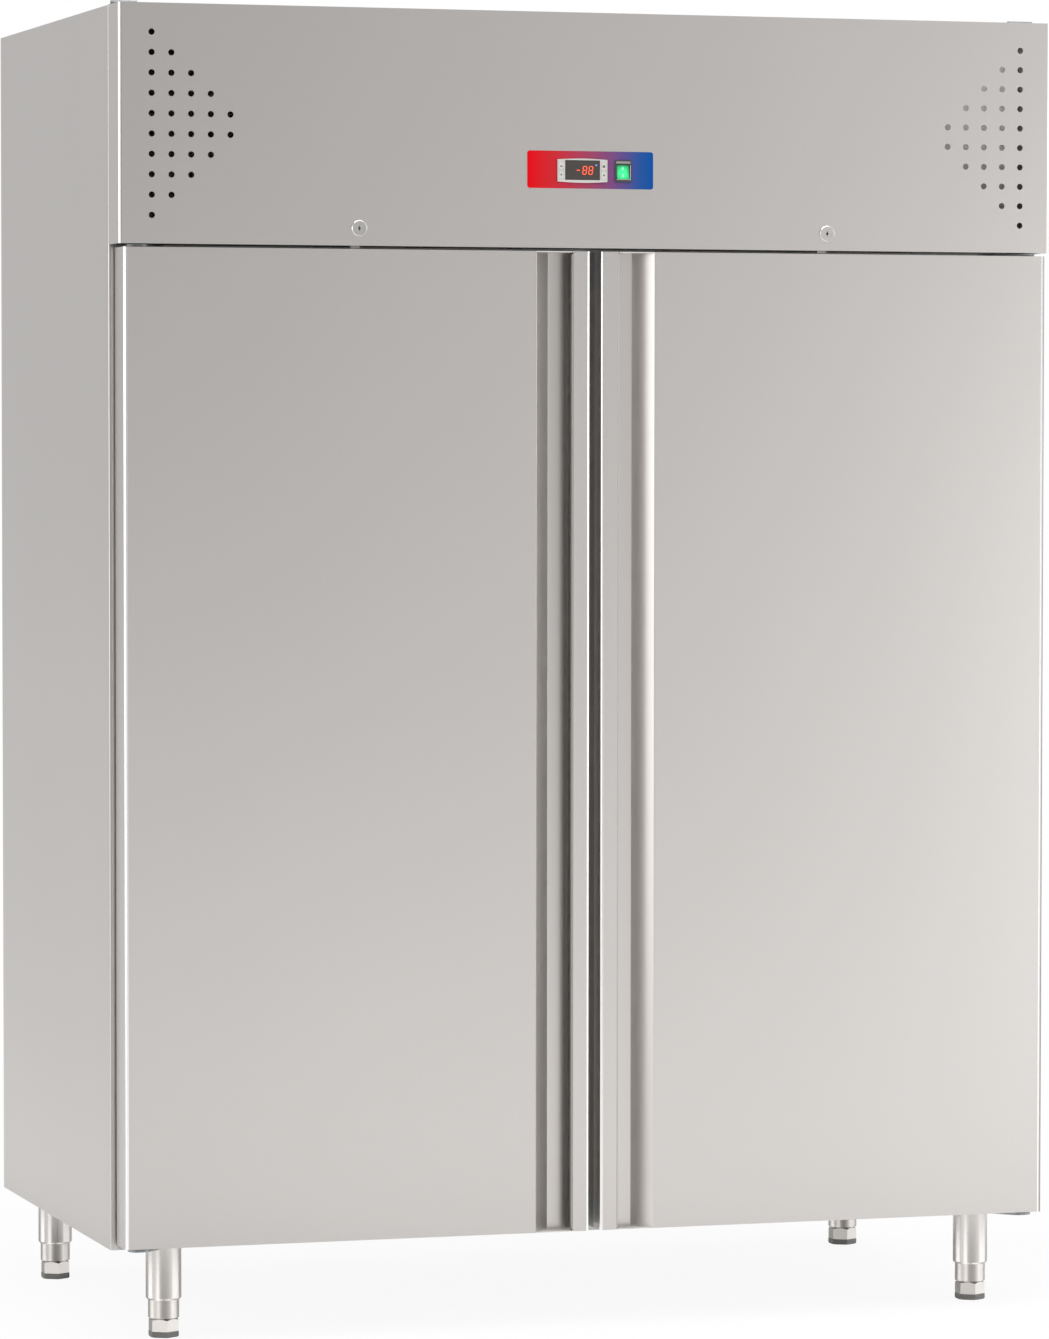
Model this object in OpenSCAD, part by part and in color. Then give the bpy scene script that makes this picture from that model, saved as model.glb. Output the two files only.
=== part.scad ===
// Two-door upright commercial refrigerator on four legs, with full-height grip
// channels in the doors and a lift-up fascia in front of the cooling unit.
// Millimetres. X runs to the right seen from the front, Y runs into the cabinet,
// Z runs up and is 0 on the floor. The origin is under the middle of the object.

/* [Cabinet] */
// Width over the two side panels
cabinet_w = 1480; // [1440:10:1560]
// Depth from the door faces to the back panel
cabinet_d = 828; // [800:2:880]
// Height of the top edge above the floor
cabinet_h = 1995; // [1950:5:2060]
// Height of the cabinet underside above the floor
leg_h = 137; // [130:1:150]
// Thickness of an insulated wall with its two sheets
wall_t = 60; // [55:1:70]
// Thickness of the sheet metal
sheet_t = 1; // [0.8:0.1:1.2]
// Distance from the door faces back to the cabinet face
door_zone = 67; // [65:1:72]
// Outer radius of the visible bends
bend_r = 4.5; // [3:0.5:6]
// Width of the side panels' front and back flanges
side_flange_w = 12; // [8:1:16]

/* [Doors] */
// Thickness of a door at its edges
door_t = 58; // [54:1:60]
// Distance of a door's outer edge from the side of the cabinet
door_inset = 7; // [4:1:8]
// Gap between the two doors
door_gap = 17; // [12:1:20]
// Height of the doors' lower edge above the cabinet underside
door_lift = 9; // [7:1:12]
// Gap between the doors and the fascia
fascia_gap = 5; // [5:0.5:8]
// Width of the flange at the back of a door skin
door_flange_w = 14; // [10:1:20]
// Height of the raised field on the inside of a door
liner_rise = 14; // [8:1:18]
// Distance of the raised field from the edges of the door opening
liner_margin = 22; // [20:1:40]
// Thickness of the door end plates
door_cap_t = 1.5; // [1:0.1:2]
// Width of the keeper in a door's top that takes the lock bolt
keeper_w = 40; // [30:1:60]
// Height of the keeper
keeper_h = 13; // [12:1:20]

/* [Grip channel] */
// Distance of the face edge of the channel from the middle of the cabinet
grip_face_x = 94; // [85:1:110]
// Distance of the crease at the channel floor from the middle of the cabinet
grip_crease_x = 67; // [60:1:75]
// Depth of the channel floor behind the door face
grip_depth = 30; // [27:1:42]
// Width of the pull lip over the channel
grip_lip_w = 29; // [22:1:31]
// Depth of the safe edge folded in at the end of the lip
grip_hem = 6; // [4:1:8]
// Chamfer at the upper and lower inner corners of the lip
grip_chamfer = 5; // [2:1:6]

/* [Door seals] */
// Width of a door gasket
gasket_w = 14; // [12:1:16]
// Distance of the gasket from the free, upper and lower edges of a door
gasket_margin = 14; // [10:1:16]
// Free gap between the gasket and the cabinet face
gasket_gap = 0.3; // [0.3:0.1:0.5]

/* [Door hinges] */
// Distance of the hinge pins from the outer edge of a door
pin_inset = 22; // [20:1:24]
// Distance of the hinge pins behind the door face
pin_depth = 25; // [24:1:28]
// Radius of the hinge pins
pin_r = 5; // [4:0.5:6]
// Radial clearance of a pin in its bush
pin_play = 0.08; // [0.05:0.01:0.1]
// Length of a pin inside the door
pin_reach = 20; // [15:1:25]
// Radius of the bushes around the pins
bush_r = 9; // [8:0.5:10]
// Thickness of the lower hinge brackets
lower_bracket_t = 4; // [3:0.5:5]
// Thickness of the upper hinge brackets
upper_bracket_t = 3; // [2.5:0.5:3]
// Width of a lower hinge bracket
bracket_w = 55; // [50:1:70]

/* [Fascia] */
// Height of the fascia
fascia_h = 355; // [330:5:380]
// Running gap between the fascia and the cabinet face
fascia_play = 0.5; // [0.4:0.1:1]
// Depth of the flange along the fascia's lower edge
fascia_flange_d = 32; // [30:1:40]
// Number of vent holes in the outermost column on each side
vent_rows = 10; // [6:2:10]
// Spacing of the vent holes
vent_pitch = 30; // [26:1:32]
// Radius of a vent hole
vent_r = 4.7; // [3:0.1:6]
// Distance of the outermost vent column from the side
vent_side = 50; // [45:1:70]
// Distance of the uppermost vent hole from the top edge
vent_top = 43; // [35:1:60]
// Width of a fascia hinge
top_hinge_w = 40; // [30:1:50]
// Distance of a fascia hinge from the side
top_hinge_inset = 4; // [3:1:20]
// Radius of a fascia hinge knuckle
knuckle_r = 3.5; // [3:0.5:4]
// Radius of a fascia hinge pin
knuckle_pin_r = 1.8; // [1.5:0.1:2]

/* [Controls] */
// How far the locks and the controller stand out of the fascia
trim_proud = 2.5; // [2.3:0.1:3]
// Width of the coloured label plate
label_w = 200; // [180:1:220]
// Height of the label plate
label_h = 56.5; // [50:0.5:60]
// Corner radius of the label plate
label_r = 4; // [2:0.5:8]
// Thickness of the label plate
label_t = 0.4; // [0.3:0.1:0.6]
// Distance of the label's middle to the left of the cabinet's middle
label_shift = 9; // [0:1:30]
// Distance of the label's middle from the top edge
label_drop = 237; // [200:1:250]
// Distance of the controller's and the switch's middle below the label's middle
controls_drop = 1.3; // [0:0.1:3]
// Width of the controller bezel
controller_w = 79; // [76:1:90]
// Height of the controller bezel
controller_h = 35; // [34:1:38]
// Distance of the controller's middle to the left of the label's middle
controller_shift = 13; // [5:1:20]
// Depth of the controller behind the fascia face
controller_d = 55; // [40:1:58]
// Width of the dark window
window_w = 55.5; // [50:0.5:56]
// Height of the dark window
window_h = 30; // [24:1:30]
// Distance of the window's middle above the bezel's middle
window_rise = 0.8; // [0:0.1:0.8]
// Travel of a key
key_travel = 0.8; // [0.5:0.1:1]
// Width of a key
key_w = 7; // [5:0.5:8]
// Height of a key
key_h = 11; // [8:0.5:12]
// Distance of the switch's middle to the right of the label's middle
switch_shift = 52; // [45:1:60]
// Width of the switch frame
switch_w = 26.5; // [24:0.5:28]
// Height of the switch frame
switch_h = 33.5; // [32:0.5:34]
// Distance of the rocker's middle below the middle of its frame
rocker_drop = 2; // [0:0.1:2]
// Tilt of the rocker to each side
rocker_tilt = 8; // [5:1:10]

/* [Locks] */
// Distance of the locks from the middle of the cabinet
lock_x = 372; // [330:1:420]
// Height of the locks above the fascia's lower edge
lock_rise = 26; // [24:1:30]
// Radius of a lock's front ring
lock_ring_r = 12; // [11:0.5:13]
// Radius of a lock's turning barrel
lock_barrel_r = 7; // [6:0.5:7]
// Width of a lock bolt
bolt_w = 15; // [13:1:16]
// Thickness of a lock bolt
bolt_t = 3; // [2.5:0.5:4]
// Depth of the bolt's front face behind the fascia face
bolt_depth = 22.5; // [22:0.5:24]
// How far the drawn-back bolt's tip stands in the gap above the door
bolt_tip = 3.4; // [2:0.1:3.8]
// Travel of a bolt
bolt_travel = 10; // [8:0.5:10]

/* [Legs] */
// Radius of a leg tube
leg_r = 27; // [24:0.5:30]
// Wall of a leg tube
leg_wall = 3.2; // [3:0.1:4]
// Radius of the adjustable foot in the tube
foot_r = 23.5; // [20:0.5:23.5]
// Height of the leg tube's lower end above the floor
leg_tube_z = 57; // [50:1:70]
// Height of the foot's hexagon
foot_hex_h = 19; // [14:1:22]
// Height of the foot's pad
foot_pad_h = 9; // [8:1:14]
// Length of a foot inside its tube
foot_reach = 45; // [40:1:60]
// How far a foot can be screwed out
foot_travel = 30; // [20:1:35]
// Distance of the front legs from the sides
front_leg_side = 88; // [70:1:110]
// Distance of the front legs behind the cabinet face
front_leg_back = 28; // [27:1:60]
// Distance of the back legs from the sides
back_leg_side = 64; // [60:1:110]
// Distance of the back legs from the back panel
back_leg_front = 95; // [60:1:130]
// Side of the square leg plate
leg_plate_w = 54; // [54:1:54]
// Thickness of the leg plate
leg_plate_t = 3; // [2:0.5:4]

/* [Cavity] */
// Width of the centre post between the two door openings
post_w = 60; // [56:1:70]
// Depth of the centre post
post_d = 45; // [30:1:60]
// Depth of the frame channels around the door openings
frame_d = 18; // [12:1:25]
// Width of a shelf
shelf_w = 530; // [500:5:530]
// Free depth of the cavity in front of the shelves
shelf_front_gap = 21; // [10:1:70]
// Free depth of the cavity behind the shelves
shelf_back_gap = 12; // [12:1:40]
// Height of the lowest shelf above the cavity floor
shelf_first = 130; // [100:5:200]
// Distance from one shelf to the next
shelf_pitch = 360; // [300:5:380]
// Radius of a shelf's frame wire
frame_wire_r = 4; // [3:0.5:5]
// Radius of a shelf's thin wires
thin_wire_r = 2; // [1.5:0.5:2.5]
// Number of thin wires in a shelf
thin_wires = 21; // [11:2:25]
// Height of a shelf runner
runner_h = 20; // [16:1:26]
// Width of a slotted upright on the side walls
upright_w = 30; // [24:1:40]
// Depth of a slotted upright on the side walls
upright_d = 12; // [10:1:16]
// Width of the uprights in the middle of the cavity
middle_upright_w = 30; // [24:1:40]
// Spacing of the hook slots in the uprights
slot_pitch = 60; // [40:5:80]

/* [Evaporator] */
// Width of the evaporator casing
evap_w = 1100; // [900:10:1200]
// Distance of the evaporator's fins from the ends of its casing
evap_side = 60; // [50:5:80]
// Depth of the evaporator's fins
evap_fin_d = 80; // [75:5:85]
// Depth of the evaporator casing
evap_d = 340; // [300:10:380]
// Height of the evaporator casing
evap_h = 120; // [100:5:130]
// Radius of the evaporator fans
evap_fan_r = 85; // [75:5:85]
// Distance of the evaporator fans from the middle
evap_fan_x = 270; // [220:5:300]

/* [Cooling unit] */
// Radius of the compressor's dome
compressor_r = 92; // [80:1:100]
// Height of the compressor's dome
compressor_h = 200; // [180:5:220]
// Distance of the compressor to the left of the middle
compressor_x = 190; // [150:5:260]
// Distance of the compressor behind the middle
compressor_y = 120; // [80:5:180]
// Width of the condenser
condenser_w = 330; // [300:5:360]
// Height of the condenser
condenser_h = 290; // [260:5:300]
// Thickness of the condenser's fin block
condenser_t = 66; // [60:22:110]
// Distance of the condenser's middle to the right of the cabinet's middle
condenser_x = 290; // [250:5:330]
// Distance of the condenser behind the cabinet face
condenser_back = 45; // [40:1:80]
// Radius of the condenser fan
condenser_fan_r = 120; // [100:5:130]
// Width of the electrical box behind the right vent holes
electric_box_w = 125; // [100:5:130]
// Depth of the electrical box
electric_box_d = 110; // [80:5:120]
// Distance of the electrical box behind the front of the body
electric_box_front = 75; // [50:1:85]
// Distance of the electrical box from the inside of the side panel
electric_box_side = 14; // [10:1:40]
// Free height above the electrical box
electric_box_top = 25; // [20:1:60]

/* [Hidden] */

$fn = 48;
eps = 0.1;
bend_steps = 5;
// Seam between pieces that lie side by side in one assembly
seam = 0.3;
// Half turn of a wire rim at a shelf corner
rim_r = 14;

side_x = cabinet_w / 2;
face_y = trim_proud - (cabinet_d + trim_proud) / 2;
box_y = face_y + door_zone;
back_y = face_y + cabinet_d;

fascia_z = cabinet_h - fascia_h;
door_top = fascia_z - fascia_gap;
door_bottom = leg_h + door_lift;
door_h = door_top - door_bottom;
door_out_x = side_x - door_inset;
door_in_x = door_gap / 2;

cavity_x = side_x - wall_t;
cavity_floor = leg_h + wall_t;
cavity_roof = fascia_z - wall_t;
cavity_back = back_y - wall_t;
cavity_front = box_y + frame_d;

pin_x = door_out_x - pin_inset;
pin_y = face_y + pin_depth;

knuckle_y = box_y;
knuckle_z = cabinet_h + knuckle_r;
top_hinge_x = side_x - top_hinge_inset - top_hinge_w / 2;

label_x = -label_shift;
label_z = cabinet_h - label_drop;
controls_z = label_z - controls_drop;
rocker_z = controls_z - rocker_drop;
controller_x = label_x - controller_shift;
controller_body_w = 71;
controller_body_h = 29;
controller_proud = trim_proud - 0.3;
switch_x = label_x + switch_shift;
switch_body_w = 21;
switch_body_h = 26;
rocker_w = 19.6;
rocker_h = 23;
rocker_pivot = 4;
cutout_play = 0.5;
key_t = 0.9;
key_stem_w = 2.4;
key_stem_h = 4;
key_stem_l = 7;

lock_z = fascia_z + lock_rise;
lock_body_r = 9.2;
lock_play = 0.06;
lock_body_d = 17;
crank_pin_r = 1.5;
crank_play = 0.4;
crank_angle = 45;
crank_r = bolt_travel / (2 * sin(crank_angle));
bolt_play = 0.3;

leg_play = 0.3;
bracket_leaf_t = 2.5;
rivet_r = 2;
rivet_head = 2;
rivet_edge = 30;
sheet_y = back_y - rivet_head;
gland_r = 8;
gland_x = side_x - 190;
gland_z = fascia_z + 28;
foot_z = foot_pad_h + foot_hex_h;

bay_in = middle_upright_w / 2;
bay_out = cavity_x - upright_d;
bay_mid = (bay_in + bay_out) / 2;
runner_t = 1.2;
runner_reach = (bay_out - bay_in - shelf_w) / 2 + 14;
shelf_y = cavity_front + shelf_front_gap;
shelf_d = cavity_back - shelf_back_gap - shelf_y;
runner_front = 30;
runner_d = shelf_d - 20;

evap_top = cavity_roof;
evap_bottom = evap_top - evap_h;
evap_back = cavity_back - sheet_t - 15;
evap_front = evap_back - evap_d;
evap_slant = 45;
evap_fan_y = evap_front + evap_slant + evap_fan_r + 8;
evap_hub_r = 28;

deck_z = fascia_z;
condenser_y = box_y + condenser_back;
condenser_z = deck_z + 25;
shroud_d = 45;
shroud_back = condenser_y + condenser_t + seam + shroud_d;
foot_span = 75;
rail_h = 12;

sheet_colour = [0.80, 0.79, 0.78];
frame_colour = [0.72, 0.72, 0.72];
foam_colour = [0.93, 0.87, 0.66];
rubber_colour = [0.22, 0.22, 0.23];
dark_colour = [0.10, 0.10, 0.11];
wire_colour = [0.86, 0.87, 0.88];
copper_colour = [0.72, 0.45, 0.30];
fin_colour = [0.75, 0.77, 0.80];

function unit(v) = v / norm(v);

// Points of the arc that rounds corner b between a and c
function bend(a, b, c, r) =
    r <= 0 ? [b] :
    let (
        u = unit(a - b),
        w = unit(c - b),
        half = acos(u * w) / 2,
        middle = b + unit(u + w) * r / sin(half),
        p = b + u * r / tan(half) - middle,
        q = b + w * r / tan(half) - middle,
        start = atan2(p.y, p.x),
        turn = (atan2(q.y, q.x) - start + 540) % 360 - 180
    )
    [for (i = [0:bend_steps]) let (angle = start + turn * i / bend_steps)
        middle + r * [cos(angle), sin(angle)]];

// An open path with its inner corners rounded
function bent_path(points, radii) =
    [for (i = [0:len(points) - 1])
        each (i == 0 || i == len(points) - 1
            ? [points[i]]
            : bend(points[i - 1], points[i], points[i + 1], radii[i]))];

function right_of(a, b) = let (d = unit(b - a)) [d.y, -d.x];

// Point i of a path moved by t to the right of the path
function shifted(path, i, t) =
    let (
        before = right_of(path[max(i - 1, 0)], path[max(i, 1)]),
        after = right_of(path[min(i, len(path) - 2)], path[min(i + 1, len(path) - 1)]),
        m = unit(before + after)
    )
    path[i] + m * t / (m * before);

function shifted_path(path, t) = [for (i = [0:len(path) - 1]) shifted(path, i, t)];

function reversed(list) = [for (i = [len(list) - 1:-1:0]) list[i]];

// Outline of a sheet folded along a path, with its thickness to the right
function sheet_outline(path, t) = concat(path, reversed(shifted_path(path, t)));

// Corner points of a rectangle with rounded corners
function rounded_rectangle(low, high, r) =
    let (c = [low, [high.x, low.y], high, [low.x, high.y]])
    [for (i = [0:3]) each bend(c[(i + 3) % 4], c[i], c[(i + 1) % 4], r)];

// Repeats its children on the right side, or mirrored on the left side
module on_side(side) {
    if (side > 0) children();
    else mirror([1, 0, 0]) children();
}

module both_sides() {
    for (side = [-1, 1]) on_side(side) children();
}

// A box from its low corner to its high corner
module block(low, high) {
    translate(low) cube(high - low);
}

// A prism of an outline in X and depth behind the door face, from z0 to z1
module section(outline, z0, z1) {
    translate([0, face_y, z0]) linear_extrude(z1 - z0) polygon(outline);
}

// A prism of an outline in X and Z, from y0 to y1
module facing(outline, y0, y1) {
    translate([0, y1, 0]) rotate([90, 0, 0]) linear_extrude(y1 - y0) polygon(outline);
}

// A cylinder along Y at x and z, from y0 to y1
module along_y(x, z, r, y0, y1) {
    translate([x, y0, z]) rotate([-90, 0, 0]) cylinder(r = r, h = y1 - y0);
}

// Cabinet shell

module side_panel(side) {
    plan = bent_path([
        [side_x - side_flange_w, door_zone],
        [side_x, door_zone],
        [side_x, cabinet_d],
        [side_x - side_flange_w, cabinet_d]
    ], [0, sheet_t + 0.3, bend_r / 2, 0]);
    color(sheet_colour) on_side(side) {
        section(sheet_outline(plan, -sheet_t), leg_h, cabinet_h);
        block([side_x - side_flange_w, box_y + bend_r, leg_h],
              [side_x - sheet_t / 2, back_y - bend_r, leg_h + sheet_t]);
        block([side_x - side_flange_w, box_y + bend_r, cabinet_h - sheet_t],
              [side_x - sheet_t / 2, back_y - bend_r, cabinet_h]);
    }
}

module back_panel() {
    x = side_x - side_flange_w - seam;
    color(sheet_colour) difference() {
        union() {
            block([-x, sheet_y - sheet_t, leg_h], [x, sheet_y, deck_z - seam]);
            block([-x, back_y - side_flange_w, leg_h], [x, sheet_y - sheet_t / 2, leg_h + sheet_t]);
        }
        rivet_places(0) along_y(0, 0, rivet_r + 0.2, sheet_y - 2 * sheet_t, sheet_y + eps);
    }
}

module base_panel() {
    x = side_x - side_flange_w - seam;
    color(sheet_colour) block(
        [-x, box_y + frame_d + seam, leg_h],
        [x, back_y - side_flange_w - seam, leg_h + sheet_t]
    );
}

module top_deck() {
    half = side_x - sheet_t - seam;
    color(frame_colour) {
        block([-half, box_y + frame_d + seam, deck_z - sheet_t], [half, sheet_y - sheet_t - seam, deck_z]);
        for (x = [-compressor_x - foot_span, -compressor_x + foot_span])
            translate([x, 0, deck_z + seam]) rotate([90, 0, 0]) translate([0, 0, -compressor_y - 150])
                linear_extrude(300) polygon([[-25, 0], [-15, 0], [-15, rail_h - 1.5], [15, rail_h - 1.5], [15, 0],
                    [25, 0], [25, 1.5], [16.5, 1.5], [16.5, rail_h], [-16.5, rail_h], [-16.5, 1.5], [-25, 1.5]]);
    }
}

module cabinet_insulation() {
    gap = seam;
    outer = side_x - sheet_t - gap;
    inner = cavity_x + sheet_t + gap;
    front = box_y + frame_d + gap;
    back = sheet_y - sheet_t - gap;
    bottom = leg_h + sheet_t + gap;
    top = deck_z - sheet_t - gap;
    color(foam_colour) {
        both_sides() block([inner, front + gap, bottom], [outer, back - 1, top]);
        block([-inner + gap, front + gap, bottom], [inner - gap, back, cavity_floor - sheet_t - gap]);
        block([-inner + gap, front + gap, cavity_roof + sheet_t + gap], [inner - gap, back, top]);
        block([-inner + gap, cavity_back + sheet_t + gap, cavity_floor - sheet_t],
              [inner - gap, back, cavity_roof + sheet_t]);
    }
}

module inner_liner() {
    front = box_y + frame_d + seam;
    color(sheet_colour) {
        both_sides() block([cavity_x, front, cavity_floor], [cavity_x + sheet_t, cavity_back, cavity_roof]);
        block([-cavity_x - sheet_t, front, cavity_floor - sheet_t],
              [cavity_x + sheet_t, cavity_back + sheet_t, cavity_floor - seam]);
        block([-cavity_x - sheet_t, front, cavity_roof + seam],
              [cavity_x + sheet_t, cavity_back + sheet_t, cavity_roof + sheet_t]);
        block([-cavity_x - sheet_t, cavity_back + seam, cavity_floor],
              [cavity_x + sheet_t, cavity_back + sheet_t, cavity_roof]);
    }
}

angle_w = 22;

// Channels around the two door openings, and the angle that carries the fascia hinges
module front_frame() {
    outer = side_x - side_flange_w - seam;
    low = leg_h;
    high = deck_z;
    color(sheet_colour) {
        both_sides() section(sheet_outline([
            [outer, door_zone + frame_d],
            [outer, door_zone],
            [cavity_x, door_zone],
            [cavity_x, door_zone + frame_d]
        ], sheet_t), cavity_floor + seam, cavity_roof - seam);
        for (z = [[low, cavity_floor], [cavity_roof, high]])
            difference() {
                block([-outer, box_y, z[0]], [outer, box_y + frame_d, z[1]]);
                block([-outer - eps, box_y + sheet_t, z[0] + sheet_t],
                      [outer + eps, box_y + frame_d + eps, z[1] - sheet_t]);
            }
        difference() {
            block([-outer, box_y, cabinet_h - angle_w], [outer, box_y + angle_w, cabinet_h]);
            block([-outer - eps, box_y + 1.5, cabinet_h - angle_w - eps],
                  [outer + eps, box_y + angle_w + eps, cabinet_h - 1.5]);
        }
    }
}

module centre_post() {
    half = post_w / 2;
    color(sheet_colour) difference() {
        block([-half, box_y, cavity_floor + seam], [half, box_y + post_d, cavity_roof - seam]);
        block([-half + sheet_t, box_y + sheet_t, cavity_floor],
              [half - sheet_t, box_y + post_d - sheet_t, cavity_roof]);
    }
}

// Slotted back of the machine compartment, and its cover with slots over the condenser
// and an opening for the wiring in front of the electrical box
module rear_grille() {
    x = side_x - side_flange_w - seam;
    slot_w = 6;
    slot_h = 70;
    slots = 24;
    spacing = 24;
    color(sheet_colour) difference() {
        block([-x, sheet_y - sheet_t, deck_z], [x, sheet_y, cabinet_h]);
        rivet_places(1) along_y(0, 0, rivet_r + 0.2, sheet_y - 2 * sheet_t, sheet_y + eps);
        along_y(gland_x, gland_z, gland_r + seam, sheet_y - 2 * sheet_t, sheet_y + eps);
        for (row = [0:2], column = [0:slots - 1])
            translate([(column - (slots - 1) / 2) * spacing, sheet_y, deck_z + 75 + row * 95])
                cube([slot_w, 3 * sheet_t, slot_h], center = true);
    }
    color(sheet_colour) difference() {
        block([-x, box_y + angle_w + seam, cabinet_h - sheet_t], [x, sheet_y - sheet_t - seam, cabinet_h]);
        for (row = [0:9], column = [0:6])
            translate([condenser_x - condenser_w / 2 + 30 + column * 80, box_y + angle_w + 30 + row * 18, cabinet_h])
                cube([slot_h - 8, slot_w, 3 * sheet_t], center = true);
        block([side_x - electric_box_side - electric_box_w, box_y + angle_w + 8, cabinet_h - 2 * sheet_t],
              [side_x - electric_box_side - 6, box_y + electric_box_front, cabinet_h + eps]);
    }
}

// Fascia

// Front of the fascia with its two returns, to the given depth
function fascia_plan(depth) =
    bent_path([[side_x, depth], [side_x, 0], [-side_x, 0], [-side_x, depth]], [0, bend_r, bend_r, 0]);

module fascia_panel() {
    back = door_zone - fascia_play;
    color(sheet_colour) difference() {
        union() {
            section(sheet_outline(fascia_plan(back), sheet_t), fascia_z, cabinet_h);
            section(fascia_plan(back), cabinet_h - sheet_t, cabinet_h);
            section(fascia_plan(fascia_flange_d), fascia_z, fascia_z + sheet_t);
        }
        both_sides() vent_holes();
        controller_cutout();
        for (x = [-lock_x, lock_x]) {
            along_y(x, lock_z, lock_body_r + 0.3, face_y - eps, face_y + 2 * sheet_t);
            block([x - bolt_w / 2 - bolt_play, face_y + bolt_depth - bolt_play, fascia_z - eps],
                  [x + bolt_w / 2 + bolt_play, face_y + bolt_depth + bolt_t + bolt_play, fascia_z + 2 * sheet_t]);
        }
    }
}

// Holes in columns that get shorter towards the middle of the cabinet
module vent_holes() {
    for (column = [0:vent_rows / 2 - 1], row = [column:vent_rows - 1 - column])
        along_y(side_x - vent_side - column * vent_pitch, cabinet_h - vent_top - row * vent_pitch,
                vent_r, face_y - eps, face_y + 2 * sheet_t);
}

module controller_cutout() {
    for (c = [[controller_x, controls_z, controller_body_w, controller_body_h],
              [switch_x, rocker_z, switch_body_w, switch_body_h]])
        block([c[0] - c[2] / 2 - cutout_play, face_y - 2, c[1] - c[3] / 2 - cutout_play],
              [c[0] + c[2] / 2 + cutout_play, face_y + 2 * sheet_t, c[1] + c[3] / 2 + cutout_play]);
}

knuckle_gap = 0.3;
leaf_t = 1.5;

// Fixed leaves, outer knuckles and pins of the two fascia hinges
module fascia_hinge_bases() {
    third = top_hinge_w / 3;
    color(frame_colour) for (x = [-top_hinge_x, top_hinge_x]) translate([x, 0, 0]) {
        block([-top_hinge_w / 2, knuckle_y + knuckle_r + 0.2, cabinet_h], [top_hinge_w / 2, knuckle_y + angle_w, cabinet_h + leaf_t]);
        for (k = [-third, third]) {
            translate([k, knuckle_y, knuckle_z]) rotate([0, 90, 0]) cylinder(r = knuckle_r, h = third, center = true);
            block([k - third / 2, knuckle_y, cabinet_h + 0.2],
                  [k + third / 2, knuckle_y + knuckle_r + 1, cabinet_h + leaf_t]);
        }
        translate([0, knuckle_y, knuckle_z]) rotate([0, 90, 0])
            cylinder(r = knuckle_pin_r, h = top_hinge_w - 2, center = true);
    }
}

// Moving leaves and middle knuckles of the fascia hinges
module fascia_hinge_leaves() {
    third = top_hinge_w / 3 - 2 * knuckle_gap;
    color(frame_colour) for (x = [-top_hinge_x, top_hinge_x]) translate([x, 0, 0]) difference() {
        union() {
            block([-top_hinge_w / 2, knuckle_y - 24, cabinet_h], [top_hinge_w / 2, knuckle_y - knuckle_r - 0.4, cabinet_h + leaf_t]);
            block([-third / 2, knuckle_y - knuckle_r - 1, cabinet_h + 0.2], [third / 2, knuckle_y, cabinet_h + leaf_t]);
            translate([0, knuckle_y, knuckle_z]) rotate([0, 90, 0]) cylinder(r = knuckle_r, h = third, center = true);
        }
        translate([0, knuckle_y, knuckle_z]) rotate([0, 90, 0])
            cylinder(r = knuckle_pin_r + 0.08, h = top_hinge_w, center = true);
    }
}

// Controls

module control_label() {
    color([0.55, 0.15, 0.45]) difference() {
        facing(rounded_rectangle([label_x - label_w / 2, label_z - label_h / 2],
                                 [label_x + label_w / 2, label_z + label_h / 2], label_r),
               face_y - label_t, face_y);
        controller_cutout();
    }
}

// Bezel outline whose upper and lower edges swell by the given amount
function bezel_outline(w, h, swell) =
    let (n = 12)
    concat(
        [for (i = [0:n]) let (s = i / n) [-w / 2 + w * s, -h / 2 - swell * sin(180 * s) + swell / 2]],
        [for (i = [0:n]) let (s = i / n) [w / 2 - w * s, h / 2 + swell * sin(180 * s) - swell / 2]]
    );

// Middles of the four keys, seen from the front
key_column = (controller_w + window_w) / 4 + 0.2;
key_places = [[-1, 1], [-1, -1], [1, 1], [1, -1]];
function key_middle(i) = [controller_x + key_places[i].x * key_column, controls_z + key_places[i].y * (key_h / 2 + 1.2)];

module controller_housing() {
    front = face_y - controller_proud;
    color([0.78, 0.79, 0.80]) difference() {
        union() {
            translate([controller_x, 0, controls_z])
                facing(bezel_outline(controller_w, controller_h, 1.6), front, face_y - label_t);
            block([controller_x - controller_body_w / 2, face_y - label_t - eps, controls_z - controller_body_h / 2],
                  [controller_x + controller_body_w / 2, face_y + controller_d, controls_z + controller_body_h / 2]);
        }
        block([controller_x - window_w / 2, front - eps, controls_z + window_rise - window_h / 2],
              [controller_x + window_w / 2, front + 1.2, controls_z + window_rise + window_h / 2]);
        for (i = [0:3]) {
            translate([key_middle(i).x, front, key_middle(i).y])
                cube([key_w + 0.6, 2 * (key_travel + key_t - 0.2), key_h + 0.6], center = true);
            key_stem(i, 0.3, key_travel + 0.3);
        }
    }
}

module controller_window() {
    front = face_y - controller_proud;
    color(dark_colour) block(
        [controller_x - window_w / 2 + 0.2, front + 0.2, controls_z + window_rise - window_h / 2 + 0.2],
        [controller_x + window_w / 2 - 0.2, front + 1.2, controls_z + window_rise + window_h / 2 - 0.2]
    );
}

// Stem of a key beside the window, with a margin around it and at its end
module key_stem(i, margin, deeper) {
    x = key_middle(i).x - key_places[i].x * (key_w / 2 - key_stem_w / 2 - 0.4);
    front = face_y - controller_proud;
    block([x - key_stem_w / 2 - margin, front, key_middle(i).y - key_stem_h / 2 - margin],
          [x + key_stem_w / 2 + margin, front + key_stem_l + deeper, key_middle(i).y + key_stem_h / 2 + margin]);
}

// One spring-back key: a thin cap with a stem that runs into the housing
module key(i) {
    p = key_middle(i);
    front = face_y - controller_proud;
    color([0.70, 0.71, 0.72]) {
        translate([p.x, 0, p.y])
            facing(rounded_rectangle([-key_w / 2, -key_h / 2], [key_w / 2, key_h / 2], 1.5),
                   front - 0.3, front - 0.3 + key_t);
        key_stem(i, 0, 0);
    }
}

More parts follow.
